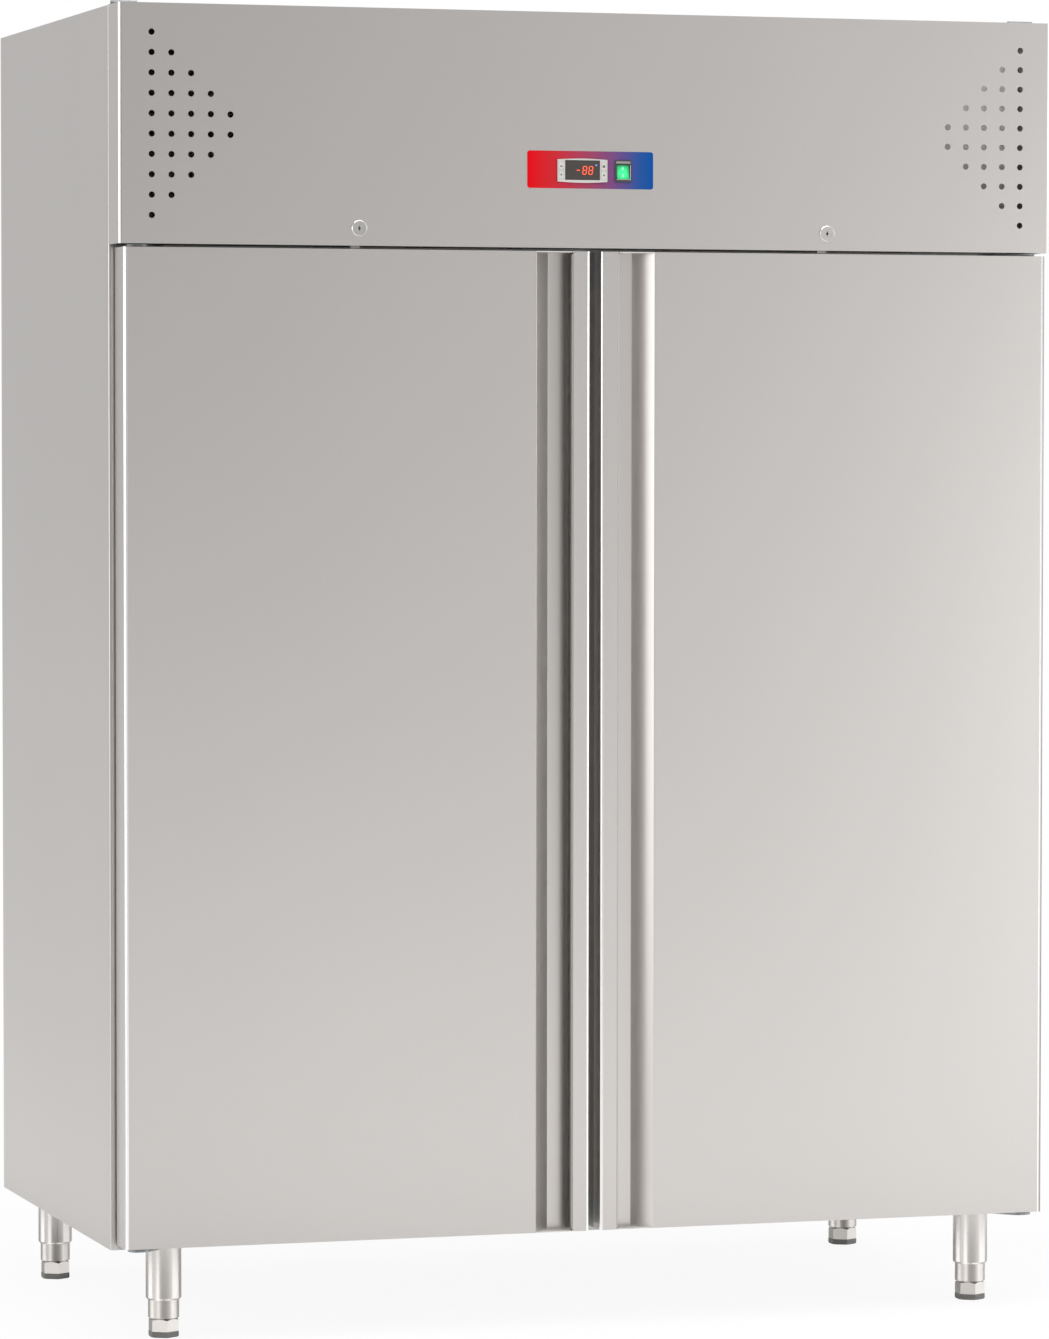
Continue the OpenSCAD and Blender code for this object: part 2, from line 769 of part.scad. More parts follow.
module rocker_frame() {
    front = face_y - trim_proud + 1;
    color(dark_colour) translate([switch_x, 0, 0]) difference() {
        union() {
            translate([0, 0, controls_z])
                facing(rounded_rectangle([-switch_w / 2, -switch_h / 2], [switch_w / 2, switch_h / 2], 2),
                       front, face_y - label_t);
            block([-switch_body_w / 2, face_y - label_t - eps, rocker_z - switch_body_h / 2],
                  [switch_body_w / 2, face_y + 22, rocker_z + switch_body_h / 2]);
        }
        block([-rocker_w / 2 - 0.3, front - eps, rocker_z - rocker_h / 2 - 0.5],
              [rocker_w / 2 + 0.3, face_y + 14, rocker_z + rocker_h / 2 + 0.5]);
        translate([0, face_y + rocker_pivot, rocker_z]) rotate([0, 90, 0])
            cylinder(r = 1.3, h = switch_body_w - 0.4, center = true);
    }
}

// Rocker with two flats that meet at the middle and a pivot pin, tipped to one side
module rocker_button() {
    front = -rocker_pivot - trim_proud + 2;
    half = rocker_h / 2 - 0.9;
    dip = half * tan(rocker_tilt);
    color([0.05, 0.80, 0.45]) translate([switch_x, face_y + rocker_pivot, rocker_z]) rotate([-rocker_tilt, 0, 0]) {
        rotate([90, 0, 90]) linear_extrude(rocker_w - 0.4, center = true)
            polygon([[front, -half], [front + dip, 0], [front, half], [3.5, half * 0.55], [3.5, -half * 0.55]]);
        rotate([0, 90, 0]) cylinder(r = 1.2, h = switch_body_w - 0.8, center = true);
    }
}

// Locks

module lock_housings() {
    color([0.80, 0.81, 0.82]) for (x = [-lock_x, lock_x]) difference() {
        union() {
            translate([x, face_y - trim_proud, lock_z]) rotate([-90, 0, 0]) {
                cylinder(r1 = lock_ring_r - 1, r2 = lock_ring_r, h = 1);
                translate([0, 0, 1]) cylinder(r = lock_ring_r, h = trim_proud - 1);
            }
            along_y(x, lock_z, lock_body_r, face_y - eps, face_y + lock_body_d);
            translate([x, face_y + sheet_t, lock_z]) rotate([-90, 0, 0]) cylinder(r = 12.5, h = 4, $fn = 6);
        }
        along_y(x, lock_z, lock_barrel_r + lock_play, face_y - trim_proud - eps, face_y + lock_body_d + eps);
    }
}

// Turning barrel with a key slot in front and a crank pin behind
module lock_barrel(x) {
    back = face_y + lock_body_d + 0.3;
    pin = [x + crank_r * cos(crank_angle), lock_z + crank_r * sin(crank_angle)];
    color([0.70, 0.71, 0.73]) {
        difference() {
            union() {
                along_y(x, lock_z, lock_barrel_r, face_y - trim_proud + 0.4, back);
                along_y(x, lock_z, crank_r + crank_pin_r + 1, back, back + 2.5);
            }
            translate([x, face_y - trim_proud + 0.4, lock_z]) {
                cube([1.6, 8, 7], center = true);
                rotate([90, 0, 0]) cylinder(r = 2, h = 8, center = true);
            }
        }
        along_y(pin.x, pin.y, crank_pin_r, back + 2.4, face_y + bolt_depth + bolt_t + 1.5);
    }
}

// Flat bolt with a cross slot for the crank pin
module lock_bolt(x) {
    front = face_y + bolt_depth;
    pin_z = lock_z + crank_r * sin(crank_angle);
    near = crank_r * cos(crank_angle) - crank_pin_r - crank_play;
    far = crank_r + crank_pin_r + crank_play;
    slot = crank_pin_r + crank_play;
    color([0.62, 0.63, 0.65]) difference() {
        union() {
            block([x - bolt_w / 2, front, fascia_z - bolt_tip], [x + bolt_w / 2, front + bolt_t, pin_z + slot + 3]);
            block([x, front, pin_z - slot - 3], [x + far + 3, front + bolt_t, pin_z + slot + 3]);
        }
        block([x + near, front - eps, pin_z - slot], [x + far, front + bolt_t + eps, pin_z + slot]);
    }
}

// Doors, drawn for the right side

// The one folded sheet of a door: hinge edge, face, grip channel and pull lip
function skin_path() =
    let (wall_x = door_in_x + sheet_t, lip_x = door_in_x + grip_lip_w - sheet_t)
    bent_path([
        [door_out_x - door_flange_w, door_t],
        [door_out_x, door_t],
        [door_out_x, 0],
        [grip_face_x, 0],
        [grip_crease_x, grip_depth],
        [wall_x, grip_depth],
        [wall_x, sheet_t],
        [lip_x, sheet_t],
        [lip_x, sheet_t + grip_hem]
    ], [0, 2, bend_r, 1.5, 1, 1, bend_r - sheet_t, 1, 0]);

module door_skin(side) {
    lip_x = door_in_x + grip_lip_w;
    color(sheet_colour) on_side(side) difference() {
        section(sheet_outline(skin_path(), sheet_t), door_bottom, door_top);
        for (z = [door_bottom, door_top])
            facing([[lip_x - grip_chamfer, z], [lip_x, z - grip_chamfer], [lip_x + grip_chamfer, z], [lip_x, z + grip_chamfer]],
                   face_y - eps, face_y + sheet_t + grip_hem + eps);
    }
}

// Cross-section of the space inside a door, with a margin to the sheets
function door_core(margin) =
    let (
        path = skin_path(),
        n = bend_steps + 1,
        front = [for (i = [1 + n:4 * n]) shifted(path, i, sheet_t + margin)],
        back = door_t - sheet_t - margin,
        free = door_in_x + sheet_t + margin,
        hinge = door_out_x - sheet_t - margin
    )
    concat([[hinge, back]], front, [[free, grip_depth + sheet_t + margin], [free, back]]);

// Cross-section of the grip channel under and beside the lip
function channel_core(margin) =
    let (
        path = skin_path(),
        n = bend_steps + 1,
        last = len(path) - 1,
        inside = [for (i = [3 * n:last]) shifted(path, i, -margin)],
        lip_x = door_in_x + grip_lip_w + margin,
        hem_y = sheet_t + grip_hem + margin
    )
    concat(inside, [[door_in_x + grip_lip_w - sheet_t - margin, hem_y], [lip_x, hem_y], [lip_x, margin]]);

module door_caps(side) {
    inner_t = door_bottom + door_cap_t;
    color(frame_colour) on_side(side) {
        for (z = [door_bottom, door_top - door_cap_t])
            section(channel_core(0.2), z, z + door_cap_t);
        difference() {
            union() {
                section(door_core(0.2), door_bottom, inner_t);
                translate([pin_x, pin_y, door_bottom]) cylinder(r = bush_r, h = pin_reach + 3);
            }
            translate([pin_x, pin_y, door_bottom - eps]) cylinder(r = pin_r + pin_play, h = pin_reach + 0.5 + eps);
        }
        difference() {
            union() {
                section(door_core(0.2), door_top - door_cap_t, door_top);
                translate([pin_x, pin_y, door_top - pin_reach - 3]) cylinder(r = bush_r, h = pin_reach + 3);
            }
            translate([pin_x, pin_y, door_top - pin_reach - 0.5]) cylinder(r = pin_r + pin_play, h = pin_reach + 1);
            keeper_block(seam, -eps, door_t + eps);
        }
        difference() {
            keeper_block(0, sheet_t + 0.2, door_t - sheet_t - 0.2);
            block([lock_x - bolt_w / 2 - 1, face_y + bolt_depth - 1, door_top - keeper_h - 2 * eps],
                  [lock_x + bolt_w / 2 + 1, face_y + bolt_depth + bolt_t + 1, door_top + 2 * eps]);
        }
    }
}

// Block between the two parts of a door's top plate, from one depth to another
module keeper_block(margin, from, to) {
    block([lock_x - keeper_w / 2 - margin, face_y + from, door_top - keeper_h - (margin > 0 ? eps : 0)],
          [lock_x + keeper_w / 2 + margin, face_y + to, door_top + (margin > 0 ? eps : 0)]);
}

// Insulation: the door's body, the strip behind the grip channel and the raised field
module door_foam(side) {
    low = door_bottom + door_cap_t + seam;
    high = door_top - keeper_h - seam;
    strip_x = grip_crease_x;
    color(foam_colour) on_side(side) {
        difference() {
            section(door_core(seam), low, high);
            block([0, face_y, low - eps], [strip_x, face_y + door_t, high + eps]);
            for (z = [door_bottom, door_top - pin_reach - 3 - seam])
                translate([pin_x, pin_y, z]) cylinder(r = bush_r + seam, h = pin_reach + 3 + seam);
        }
        block([door_in_x + sheet_t + seam, face_y + grip_depth + sheet_t + seam, low],
              [strip_x - seam, face_y + door_t - sheet_t - seam, high]);
        facing(liner_tray(sheet_t + seam), face_y + door_t - sheet_t, face_y + door_t + liner_rise - sheet_t - seam);
    }
}

// Outline of the raised field on the inside of a door
function liner_tray(margin) =
    rounded_rectangle([post_w / 2 + liner_margin + margin, cavity_floor + liner_margin + margin],
                      [cavity_x - liner_margin - margin, cavity_roof - liner_margin - margin], 20 - margin);

module door_liner(side) {
    back = face_y + door_t;
    edge = bent_path([
        [door_out_x - door_flange_w - seam, door_t],
        [door_in_x, door_t],
        [door_in_x, grip_depth + 2 * sheet_t + seam]
    ], [0, 2, 0]);
    color([0.88, 0.88, 0.87]) on_side(side) difference() {
        union() {
            section(sheet_outline(edge, -sheet_t), door_bottom, door_top);
            facing(liner_tray(0), back - sheet_t, back + liner_rise);
        }
        facing(liner_tray(sheet_t), back - 2 * sheet_t, back + liner_rise - sheet_t);
    }
}

// Gasket: a foot on the door, a waist and a magnet strip that meets the cabinet face
module door_gasket(side) {
    low = [door_in_x + gasket_margin / 2, door_bottom + gasket_margin];
    high = [pin_x - 2, door_top - gasket_margin];
    foot_y = face_y + door_t;
    lip_y = box_y - gasket_gap;
    color(rubber_colour) on_side(side) {
        gasket_ring(low, high, 0, gasket_w, foot_y, foot_y + 2.2);
        gasket_ring(low, high, 3, gasket_w - 3, foot_y + 2.1, lip_y - 3.4);
        gasket_ring(low, high, 0.5, gasket_w - 0.5, lip_y - 3.5, lip_y);
    }
}

module gasket_ring(low, high, from, to, y0, y1) {
    difference() {
        facing(rounded_rectangle(low + [from, from], high - [from, from], 3), y0, y1);
        facing(rounded_rectangle(low + [to, to], high - [to, to], 2), y0 - eps, y1 + eps);
    }
}

// Brackets and pins that carry the doors
module door_hinge_brackets() {
    low_z = door_bottom - 2 - lower_bracket_t;
    high_z = door_top + 1;
    color(frame_colour) both_sides() {
        bracket_plate(low_z, lower_bracket_t);
        translate([pin_x, pin_y, low_z]) {
            cylinder(r = bush_r, h = lower_bracket_t + 1.7);
            cylinder(r = pin_r, h = lower_bracket_t + 2 + pin_reach);
        }
        block([pin_x + 6 - bracket_w, box_y - bracket_leaf_t, low_z], [pin_x - 22, box_y, door_bottom + 12]);
        bracket_plate(high_z, upper_bracket_t);
        block([pin_x + 6 - bracket_w, box_y - bracket_leaf_t, door_top - 12], [pin_x - 22, box_y, high_z + upper_bracket_t]);
        translate([pin_x, pin_y, door_top - pin_reach]) cylinder(r = pin_r, h = pin_reach + 1 + upper_bracket_t);
    }
}

// Horizontal plate of a bracket, wide at the cabinet and narrow at the pin
module bracket_plate(z, t) {
    x0 = pin_x + 6 - bracket_w;
    facing_up(bent_path([
        [x0, box_y],
        [x0, box_y - 20],
        [pin_x - 14, pin_y - 14],
        [pin_x + 14, pin_y - 14],
        [pin_x + 6, box_y]
    ], [0, 6, 12, 12, 0]), z, z + t);
}

module facing_up(outline, z0, z1) {
    translate([0, 0, z0]) linear_extrude(z1 - z0) polygon(outline);
}

// Legs

leg_places = [
    [-side_x + front_leg_side, box_y + front_leg_back],
    [side_x - front_leg_side, box_y + front_leg_back],
    [-side_x + back_leg_side, back_y - back_leg_front],
    [side_x - back_leg_side, back_y - back_leg_front]
];

module leg_sleeves() {
    color(sheet_colour) for (p = leg_places) translate([p.x, p.y, 0])
        rotate_extrude($fn = 64) polygon([
            [foot_r + leg_play, leg_tube_z],
            [leg_r - 2, leg_tube_z],
            [leg_r, leg_tube_z + 2.5],
            [leg_r, leg_h],
            [0, leg_h],
            [0, leg_h - leg_plate_t],
            [foot_r + leg_play, leg_h - leg_plate_t]
        ]);
}

// Adjustable foot: tube in the leg, hexagon with a turned chamfer, and pad
module foot(i) {
    p = leg_places[i];
    pad_r = foot_r + 0.3;
    color(frame_colour) translate([p.x, p.y, 0]) {
        rotate_extrude($fn = 64) polygon([
            [0, foot_z - eps],
            [foot_r - 2, foot_z - eps],
            [foot_r - 2, foot_z],
            [foot_r, foot_z + 1.5],
            [foot_r, leg_tube_z + foot_reach],
            [0, leg_tube_z + foot_reach]
        ]);
        hexagon(foot_r, foot_pad_h - eps, foot_z, 0.4, 3);
        hexagon(pad_r, 0, foot_pad_h, 1.5, 1);
    }
}

// Hexagonal prism with corners to the front and back, chamfered at both ends
module hexagon(r, z0, z1, low_cut, high_cut) {
    slope = 1.4;
    intersection() {
        translate([0, 0, z0]) rotate([0, 0, 30]) cylinder(r = r, h = z1 - z0, $fn = 6);
        rotate_extrude($fn = 64) polygon([
            [0, z0],
            [r + 0.3 - low_cut * slope, z0],
            [r + 0.3, z0 + low_cut],
            [r + 0.3, z1 - high_cut],
            [r + 0.3 - high_cut * slope, z1],
            [0, z1]
        ]);
    }
}

// Cooling unit on the deck

module compressor() {
    r = compressor_r;
    z = deck_z + 30;
    color(dark_colour) translate([-compressor_x, compressor_y, 0]) {
        translate([0, 0, z]) rotate_extrude($fn = 64) polygon(concat(
            [[0, 0]],
            [for (a = [-90:15:0]) [r - 25 + 25 * cos(a), 25 + 25 * sin(a)]],
            [[r, 88], [r + 4, 88], [r + 4, 96], [r, 96]],
            [for (a = [0:15:90]) [(r - 45) + 45 * cos(a), compressor_h - 60 + 60 * sin(a)]],
            [[0, compressor_h]]
        ));
        difference() {
            translate([0, 0, z + 1]) block([-r - 12, -r, -8], [r + 12, r, -4]);
            for (x = [-foot_span, foot_span], y = [-foot_span, foot_span]) translate([x, y, z - 10]) cylinder(r = 6.5, h = 12);
        }
        translate([0, 0, z - 6]) cylinder(r = 50, h = 12);
        for (x = [-foot_span, foot_span], y = [-foot_span, foot_span]) translate([x, y, deck_z + seam + rail_h]) difference() {
            cylinder(r = 13, h = 23.1 - seam - rail_h);
            translate([0, 0, -eps]) cylinder(r = 4, h = 12);
        }
        block([-35, -r - 38, z + 70], [35, -r + 10, z + 140]);
    }
}

// Fin block crossed by tubes that turn back outside it
module condenser_coil() {
    fins = 26;
    z0 = condenser_z;
    low = [condenser_x - condenser_w / 2, condenser_y, z0];
    color(fin_colour) {
        for (i = [0:fins - 1])
            translate([low.x + 14 + i * (condenser_w - 32) / (fins - 1), low.y, z0]) cube([2, condenser_t, condenser_h]);
        for (row = [0:8], layer = [0:1]) {
            y = condenser_y + condenser_t * (0.28 + 0.44 * layer);
            z = z0 + 20 + row * (condenser_h - 40) / 8;
            translate([low.x + 4, y, z]) rotate([0, 90, 0]) cylinder(r = 4.8, h = condenser_w - 8);
        }
        for (x = [low.x, low.x + condenser_w - 2])
            block([x, condenser_y, z0 - 25], [x + 2, condenser_y + condenser_t, z0 + condenser_h]);
        for (x = [low.x, low.x + condenser_w - 2], row = [0:8])
            translate([x + 1, condenser_y + condenser_t / 2, z0 + 20 + row * (condenser_h - 40) / 8])
                cube([10, condenser_t * 0.44 + 8, 9], center = true);
    }
}

module condenser_shroud() {
    y0 = shroud_back - shroud_d;
    z0 = condenser_z;
    mid_z = z0 + condenser_h / 2;
    x0 = condenser_x - condenser_w / 2;
    color(frame_colour) difference() {
        union() {
            block([x0, y0, z0 - 25], [x0 + condenser_w, y0 + 30, z0 + condenser_h]);
            along_y(condenser_x, mid_z, condenser_fan_r + 8, y0 + 28, y0 + shroud_d);
        }
        block([x0 + 2, y0 - eps, z0], [x0 + condenser_w - 2, y0 + 28, z0 + condenser_h - 2]);
        along_y(condenser_x, mid_z, condenser_fan_r + 5, y0, y0 + shroud_d + eps);
    }
}

// Axial fan: hub, blades and the shaft that turns in its motor, along +Z
module fan(r, hub_r, blades, width, shaft_r, shaft_l) {
    cylinder(r = hub_r, h = width);
    for (i = [0:blades - 1]) rotate([0, 0, i * 360 / blades])
        translate([hub_r - 4, 0, width / 2]) rotate([28, 0, 0])
            linear_extrude(2, center = true)
                polygon([[0, -hub_r * 0.55], [r - hub_r, -r * 0.30], [r - hub_r + 3, r * 0.12], [0, hub_r * 0.6]]);
    translate([0, 0, -shaft_l]) cylinder(r = shaft_r, h = shaft_l + eps);
}

fan_shaft_r = 4;
fan_shaft_l = 16;
shaft_play = 0.08;
condenser_fan_y = condenser_y + condenser_t + 6;

module condenser_fan() {
    color(dark_colour) translate([condenser_x, condenser_fan_y, condenser_z + condenser_h / 2])
        rotate([90, 0, 0]) translate([0, 0, -26]) fan(condenser_fan_r, 26, 5, 24, fan_shaft_r, fan_shaft_l);
}

evap_fan_z = evap_bottom + 8;
evap_fan_width = 22;

module evaporator_fan(side) {
    color([0.90, 0.90, 0.90]) translate([side * evap_fan_x, evap_fan_y, evap_fan_z + evap_fan_width])
        rotate([180, 0, 0]) fan(evap_fan_r, evap_hub_r, 5, evap_fan_width, fan_shaft_r, fan_shaft_l);
}

// Motor body with a bearing bore at its front, along +Z
module motor(r, h) {
    difference() {
        cylinder(r = r, h = h);
        translate([0, 0, -eps]) cylinder(r = fan_shaft_r + shaft_play, h = fan_shaft_l + 2);
    }
}

motor_gap = 1;

// The condenser fan's motor on four arms across the shroud, and the evaporator fans' motors on the roof
module fan_motors() {
    front = condenser_fan_y + 26 + motor_gap;
    evap_motor_z = evap_fan_z + evap_fan_width + motor_gap;
    color([0.35, 0.36, 0.38]) {
        translate([condenser_x, 0, condenser_z + condenser_h / 2]) {
            translate([0, front, 0]) rotate([-90, 0, 0]) motor(36, 60);
            for (a = [45:90:315]) rotate([0, a, 0])
                block([34, shroud_back, -6], [condenser_fan_r + 8, shroud_back + 4, 6]);
        }
        for (side = [-1, 1]) translate([side * evap_fan_x, evap_fan_y, evap_motor_z]) {
            motor(30, evap_top - evap_motor_z);
            for (a = [45:90:315]) rotate([0, 0, a]) block([28, -5, evap_top - evap_motor_z - 3], [46, 5, evap_top - evap_motor_z]);
        }
    }
}

// A tube along straight runs with ball corners
module pipe(points, r) {
    for (i = [0:len(points) - 2]) {
        a = points[i];
        d = points[i + 1] - a;
        l = norm(d);
        translate(a) rotate([0, acos(d.z / l), atan2(d.y, d.x)]) cylinder(r = r, h = l, $fn = 24);
    }
    for (i = [1:len(points) - 2]) translate(points[i]) sphere(r = r, $fn = 24);
}

module refrigerant_pipes() {
    cx = -compressor_x;
    cy = compressor_y;
    side = condenser_x - condenser_w / 2;
    mid_y = condenser_y + condenser_t / 2;
    top_z = condenser_z + condenser_h - 20;
    low_z = condenser_z + 20;
    color(copper_colour) {
        pipe([[cx + compressor_r + 0.1, cy, deck_z + 150], [cx + compressor_r + 45, cy, deck_z + 150],
              [cx + compressor_r + 45, mid_y, deck_z + 150], [cx + compressor_r + 45, mid_y, top_z],
              [side - 4, mid_y, top_z]], 4);
        pipe([[side - 4, mid_y, low_z], [side - 40, mid_y, low_z], [side - 40, cy + 60, low_z]], 4);
        translate([side - 40, cy + 60, low_z]) rotate([-90, 0, 0]) cylinder(r = 12, h = 90);
        pipe([[side - 40, cy + 150, low_z], [side - 40, cy + 185, low_z], [side - 40, cy + 185, deck_z]], 4);
        pipe([[cx, cy + compressor_r + 0.1, deck_z + 90], [cx, cy + compressor_r + 50, deck_z + 90],
              [cx + 120, cy + compressor_r + 50, deck_z + 90], [cx + 120, cy + compressor_r + 50, deck_z]], 7);
    }
}

module electrical_box() {
    x1 = side_x - sheet_t - electric_box_side;
    low = [x1 - electric_box_w, box_y + electric_box_front, deck_z];
    high = [x1, low.y + electric_box_d, cabinet_h - electric_box_top];
    wall = 1.5 * [1, 1, 1];
    color([0.66, 0.67, 0.68]) difference() {
        block(low, high);
        block(low + wall, high - wall);
    }
}

// Evaporator under the cavity roof

module evaporator_coil() {
    fins = 22;
    w = evap_w - 2 * evap_side;
    y0 = evap_back - evap_fin_d - 20;
    z0 = evap_bottom + 22;
    h = evap_h - 30;
    color(fin_colour) {
        for (i = [0:fins - 1]) translate([-w / 2 + i * (w - 2) / (fins - 1), y0, z0]) cube([2, evap_fin_d, h]);
        for (row = [0:2], layer = [0:2])
            translate([-w / 2 - 12, y0 + evap_fin_d * (0.175 + 0.325 * layer), z0 + 12 + row * (h - 24) / 2])
                rotate([0, 90, 0]) cylinder(r = 5, h = w + 24);
        for (x = [-w / 2 - 14, w / 2 + 12]) block([x, y0 + 5, evap_bottom + 1.8], [x + 2, y0 + evap_fin_d - 5, z0 + h]);
    }
}

// Casing with a slanted front, louvre slots and two fan rings
module evaporator_cover() {
    t = 1.5;
    outer = [[evap_front, evap_top], [evap_front, evap_top - 35], [evap_front + evap_slant, evap_bottom],
             [evap_back, evap_bottom], [evap_back, evap_top]];
    inside = concat([outer[0] + [t, 1]], [for (i = [1:3]) shifted(outer, i, -t)], [outer[4] + [-t, 1]]);
    color([0.90, 0.90, 0.89]) difference() {
        rotate([90, 0, 90]) linear_extrude(evap_w, center = true) polygon(outer);
        rotate([90, 0, 90]) linear_extrude(evap_w - 2 * t, center = true) polygon(inside);
        for (side = [-1, 1]) fan_openings(side * evap_fan_x);
        for (i = [-14:14]) translate([i * 36, evap_back, evap_top - 40]) cube([20, 12, 46], center = true);
    }
}

// Ring slots of a pressed fan guard
module fan_openings(x) {
    ring = 12;
    bar = 4;
    translate([x, evap_fan_y, evap_bottom - 1]) for (r = [26:ring:evap_fan_r - ring])
        difference() {
            cylinder(r = r + ring - bar, h = 4);
            translate([0, 0, -eps]) cylinder(r = r, h = 5);
            for (a = [0:45:135]) rotate([0, 0, a]) translate([0, 0, 2]) cube([2 * evap_fan_r + 10, bar, 6], center = true);
        }
}

// Shelves and their carriers

function shelf_z(level) = cavity_floor + shelf_first + level * shelf_pitch;

module slotted_post(low, high, slot_x) {
    slots = floor((high.z - low.z - 60) / slot_pitch);
    difference() {
        block(low, high);
        for (i = [0:slots])
            translate([slot_x, (low.y + high.y) / 2, low.z + 45 + i * slot_pitch])
                cube([5, 8, 12], center = true);
    }
}

module shelf_uprights() {
    z0 = cavity_floor + seam;
    z1 = cavity_roof - seam;
    front = shelf_y + 60;
    back = shelf_y + shelf_d - 70;
    color(frame_colour) {
        both_sides() for (y = [front, back])
            difference() {
                slotted_post([bay_out, y, z0], [cavity_x, y + upright_w, y == back ? evap_bottom - seam : z1], bay_out);
                block([bay_out + 1.5, y + 1.5, z0 - eps], [cavity_x + eps, y + upright_w - 1.5, z1 + eps]);
            }
        for (y = [front, back]) difference() {
            slotted_post([-bay_in, y, z0], [bay_in, y + upright_w, y == back ? evap_bottom - seam : z1], bay_in);
            for (i = [0:20]) translate([-bay_in, y + upright_w / 2, z0 + 45 + i * slot_pitch])
                cube([5, 8, 12], center = true);
            block([-bay_in + 1.5, y + 1.5, z0 - eps], [bay_in - 1.5, y + upright_w - 1.5, z1 + eps]);
        }
    }
}

// Channels that hold a shelf between two flanges
module shelf_runners() {
    y0 = shelf_y + runner_front;
    color(frame_colour) both_sides() for (level = [0:2], edge = [0, 1]) {
        web = edge == 0 ? bay_in : bay_out;
        way = edge == 0 ? 1 : -1;
        z = shelf_z(level);
        tip = web + way * runner_reach;
        path = [[tip, z + runner_h], [web, z + runner_h], [web, z], [tip, z]];
        facing(sheet_outline(path, -way * runner_t), y0, y0 + runner_d);
    }
}

// Wire shelf, centred on its bay
module shelf(level) {
    r = frame_wire_r;
    w = shelf_w / 2 - r;
    z = shelf_z(level) + runner_t + r;
    y0 = shelf_y + r;
    y1 = shelf_y + shelf_d - r;
    translate([bay_mid, 0, z]) {
        for (x = [-w, w]) along_y(x, 0, r, y0 + rim_r, y1 - rim_r);
        for (y = [y0, y1]) translate([-w + rim_r, y, 0]) rotate([0, 90, 0]) cylinder(r = r, h = 2 * (w - rim_r));
        for (x = [-1, 1], y = [-1, 1])
            translate([x * (w - rim_r), y < 0 ? y0 + rim_r : y1 - rim_r, 0])
                rotate([0, 0, x > 0 ? (y > 0 ? 0 : 270) : (y > 0 ? 90 : 180)])
                    rotate_extrude(angle = 90) translate([rim_r, 0]) circle(r = r, $fn = 24);
        for (y = [0.28, 0.72])
            translate([-w, y0 + y * (y1 - y0), -1]) rotate([0, 90, 0]) cylinder(r = thin_wire_r + 0.5, h = 2 * w);
        for (i = [1:thin_wires])
            along_y(-w + i * 2 * w / (thin_wires + 1), r - thin_wire_r + 1, thin_wire_r, y0, y1);
    }
}

module shelves(side) {
    color(wire_colour) on_side(side) for (level = [0:2]) shelf(level);
}

// Puts its children at the rivets of the back panel (0) or the grille (1)
module rivet_places(sheet) {
    low = sheet == 0 ? leg_h + 2 * rivet_edge : deck_z + rivet_edge;
    high = sheet == 0 ? deck_z - 2 * rivet_edge : cabinet_h - rivet_edge;
    steps = sheet == 0 ? 4 : 1;
    heights = [for (i = [0:steps]) low + i * (high - low) / steps];
    for (x = [-1, 1], z = heights)
        translate([x * (side_x - side_flange_w - 18), 0, z]) children();
}

// Blind rivets that hold the back panel and the grille
module case_rivets() {
    color(frame_colour) for (sheet = [0, 1]) rivet_places(sheet) {
        along_y(0, 0, 4.2, sheet_y, sheet_y + rivet_head);
        along_y(0, 0, rivet_r, sheet_y - sheet_t - 0.15, sheet_y + eps);
    }
}

// Inlet for the supply cord, in the rear grille
module cable_gland() {
    color(dark_colour) difference() {
        union() {
            along_y(gland_x, gland_z, gland_r, sheet_y - 8, sheet_y + rivet_head);
            along_y(gland_x, gland_z, gland_r + 4, sheet_y, sheet_y + rivet_head);
            along_y(gland_x, gland_z, gland_r + 3, sheet_y - 8, sheet_y - sheet_t - seam);
        }
        along_y(gland_x, gland_z, 4.5, sheet_y - 9, sheet_y + 3);
    }
}

side_panel(-1);  // side_panel_left
side_panel(1);  // side_panel_right
back_panel();
base_panel();
top_deck();
cabinet_insulation();
inner_liner();
front_frame();
centre_post();
rear_grille();
fascia_panel();
fascia_hinge_bases();
fascia_hinge_leaves();
control_label();
controller_housing();
controller_window();
key(0);  // key_up
key(1);  // key_down
key(2);  // key_set
key(3);  // key_defrost
rocker_frame();
rocker_button();
lock_housings();
lock_barrel(-lock_x);  // lock_barrel_left
lock_barrel(lock_x);  // lock_barrel_right
lock_bolt(-lock_x);  // lock_bolt_left
lock_bolt(lock_x);  // lock_bolt_right
door_skin(-1);  // door_skin_left
door_skin(1);  // door_skin_right
door_liner(-1);  // door_liner_left
door_liner(1);  // door_liner_right
door_foam(-1);  // door_foam_left
door_foam(1);  // door_foam_right
door_gasket(-1);  // door_gasket_left
door_gasket(1);  // door_gasket_right
door_caps(-1);  // door_caps_left
door_caps(1);  // door_caps_right
door_hinge_brackets();
leg_sleeves();
foot(0);  // foot_front_left
foot(1);  // foot_front_right
foot(2);  // foot_back_left
foot(3);  // foot_back_right
compressor();
condenser_coil();
condenser_shroud();
condenser_fan();
fan_motors();
refrigerant_pipes();
electrical_box();
evaporator_coil();
evaporator_cover();
evaporator_fan(-1);  // evaporator_fan_left
evaporator_fan(1);  // evaporator_fan_right
shelf_uprights();
shelf_runners();
shelves(-1);  // shelves_left
shelves(1);  // shelves_right
case_rivets();
cable_gland();
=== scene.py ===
import math

import bmesh
import bpy
from mathutils import Matrix, Vector


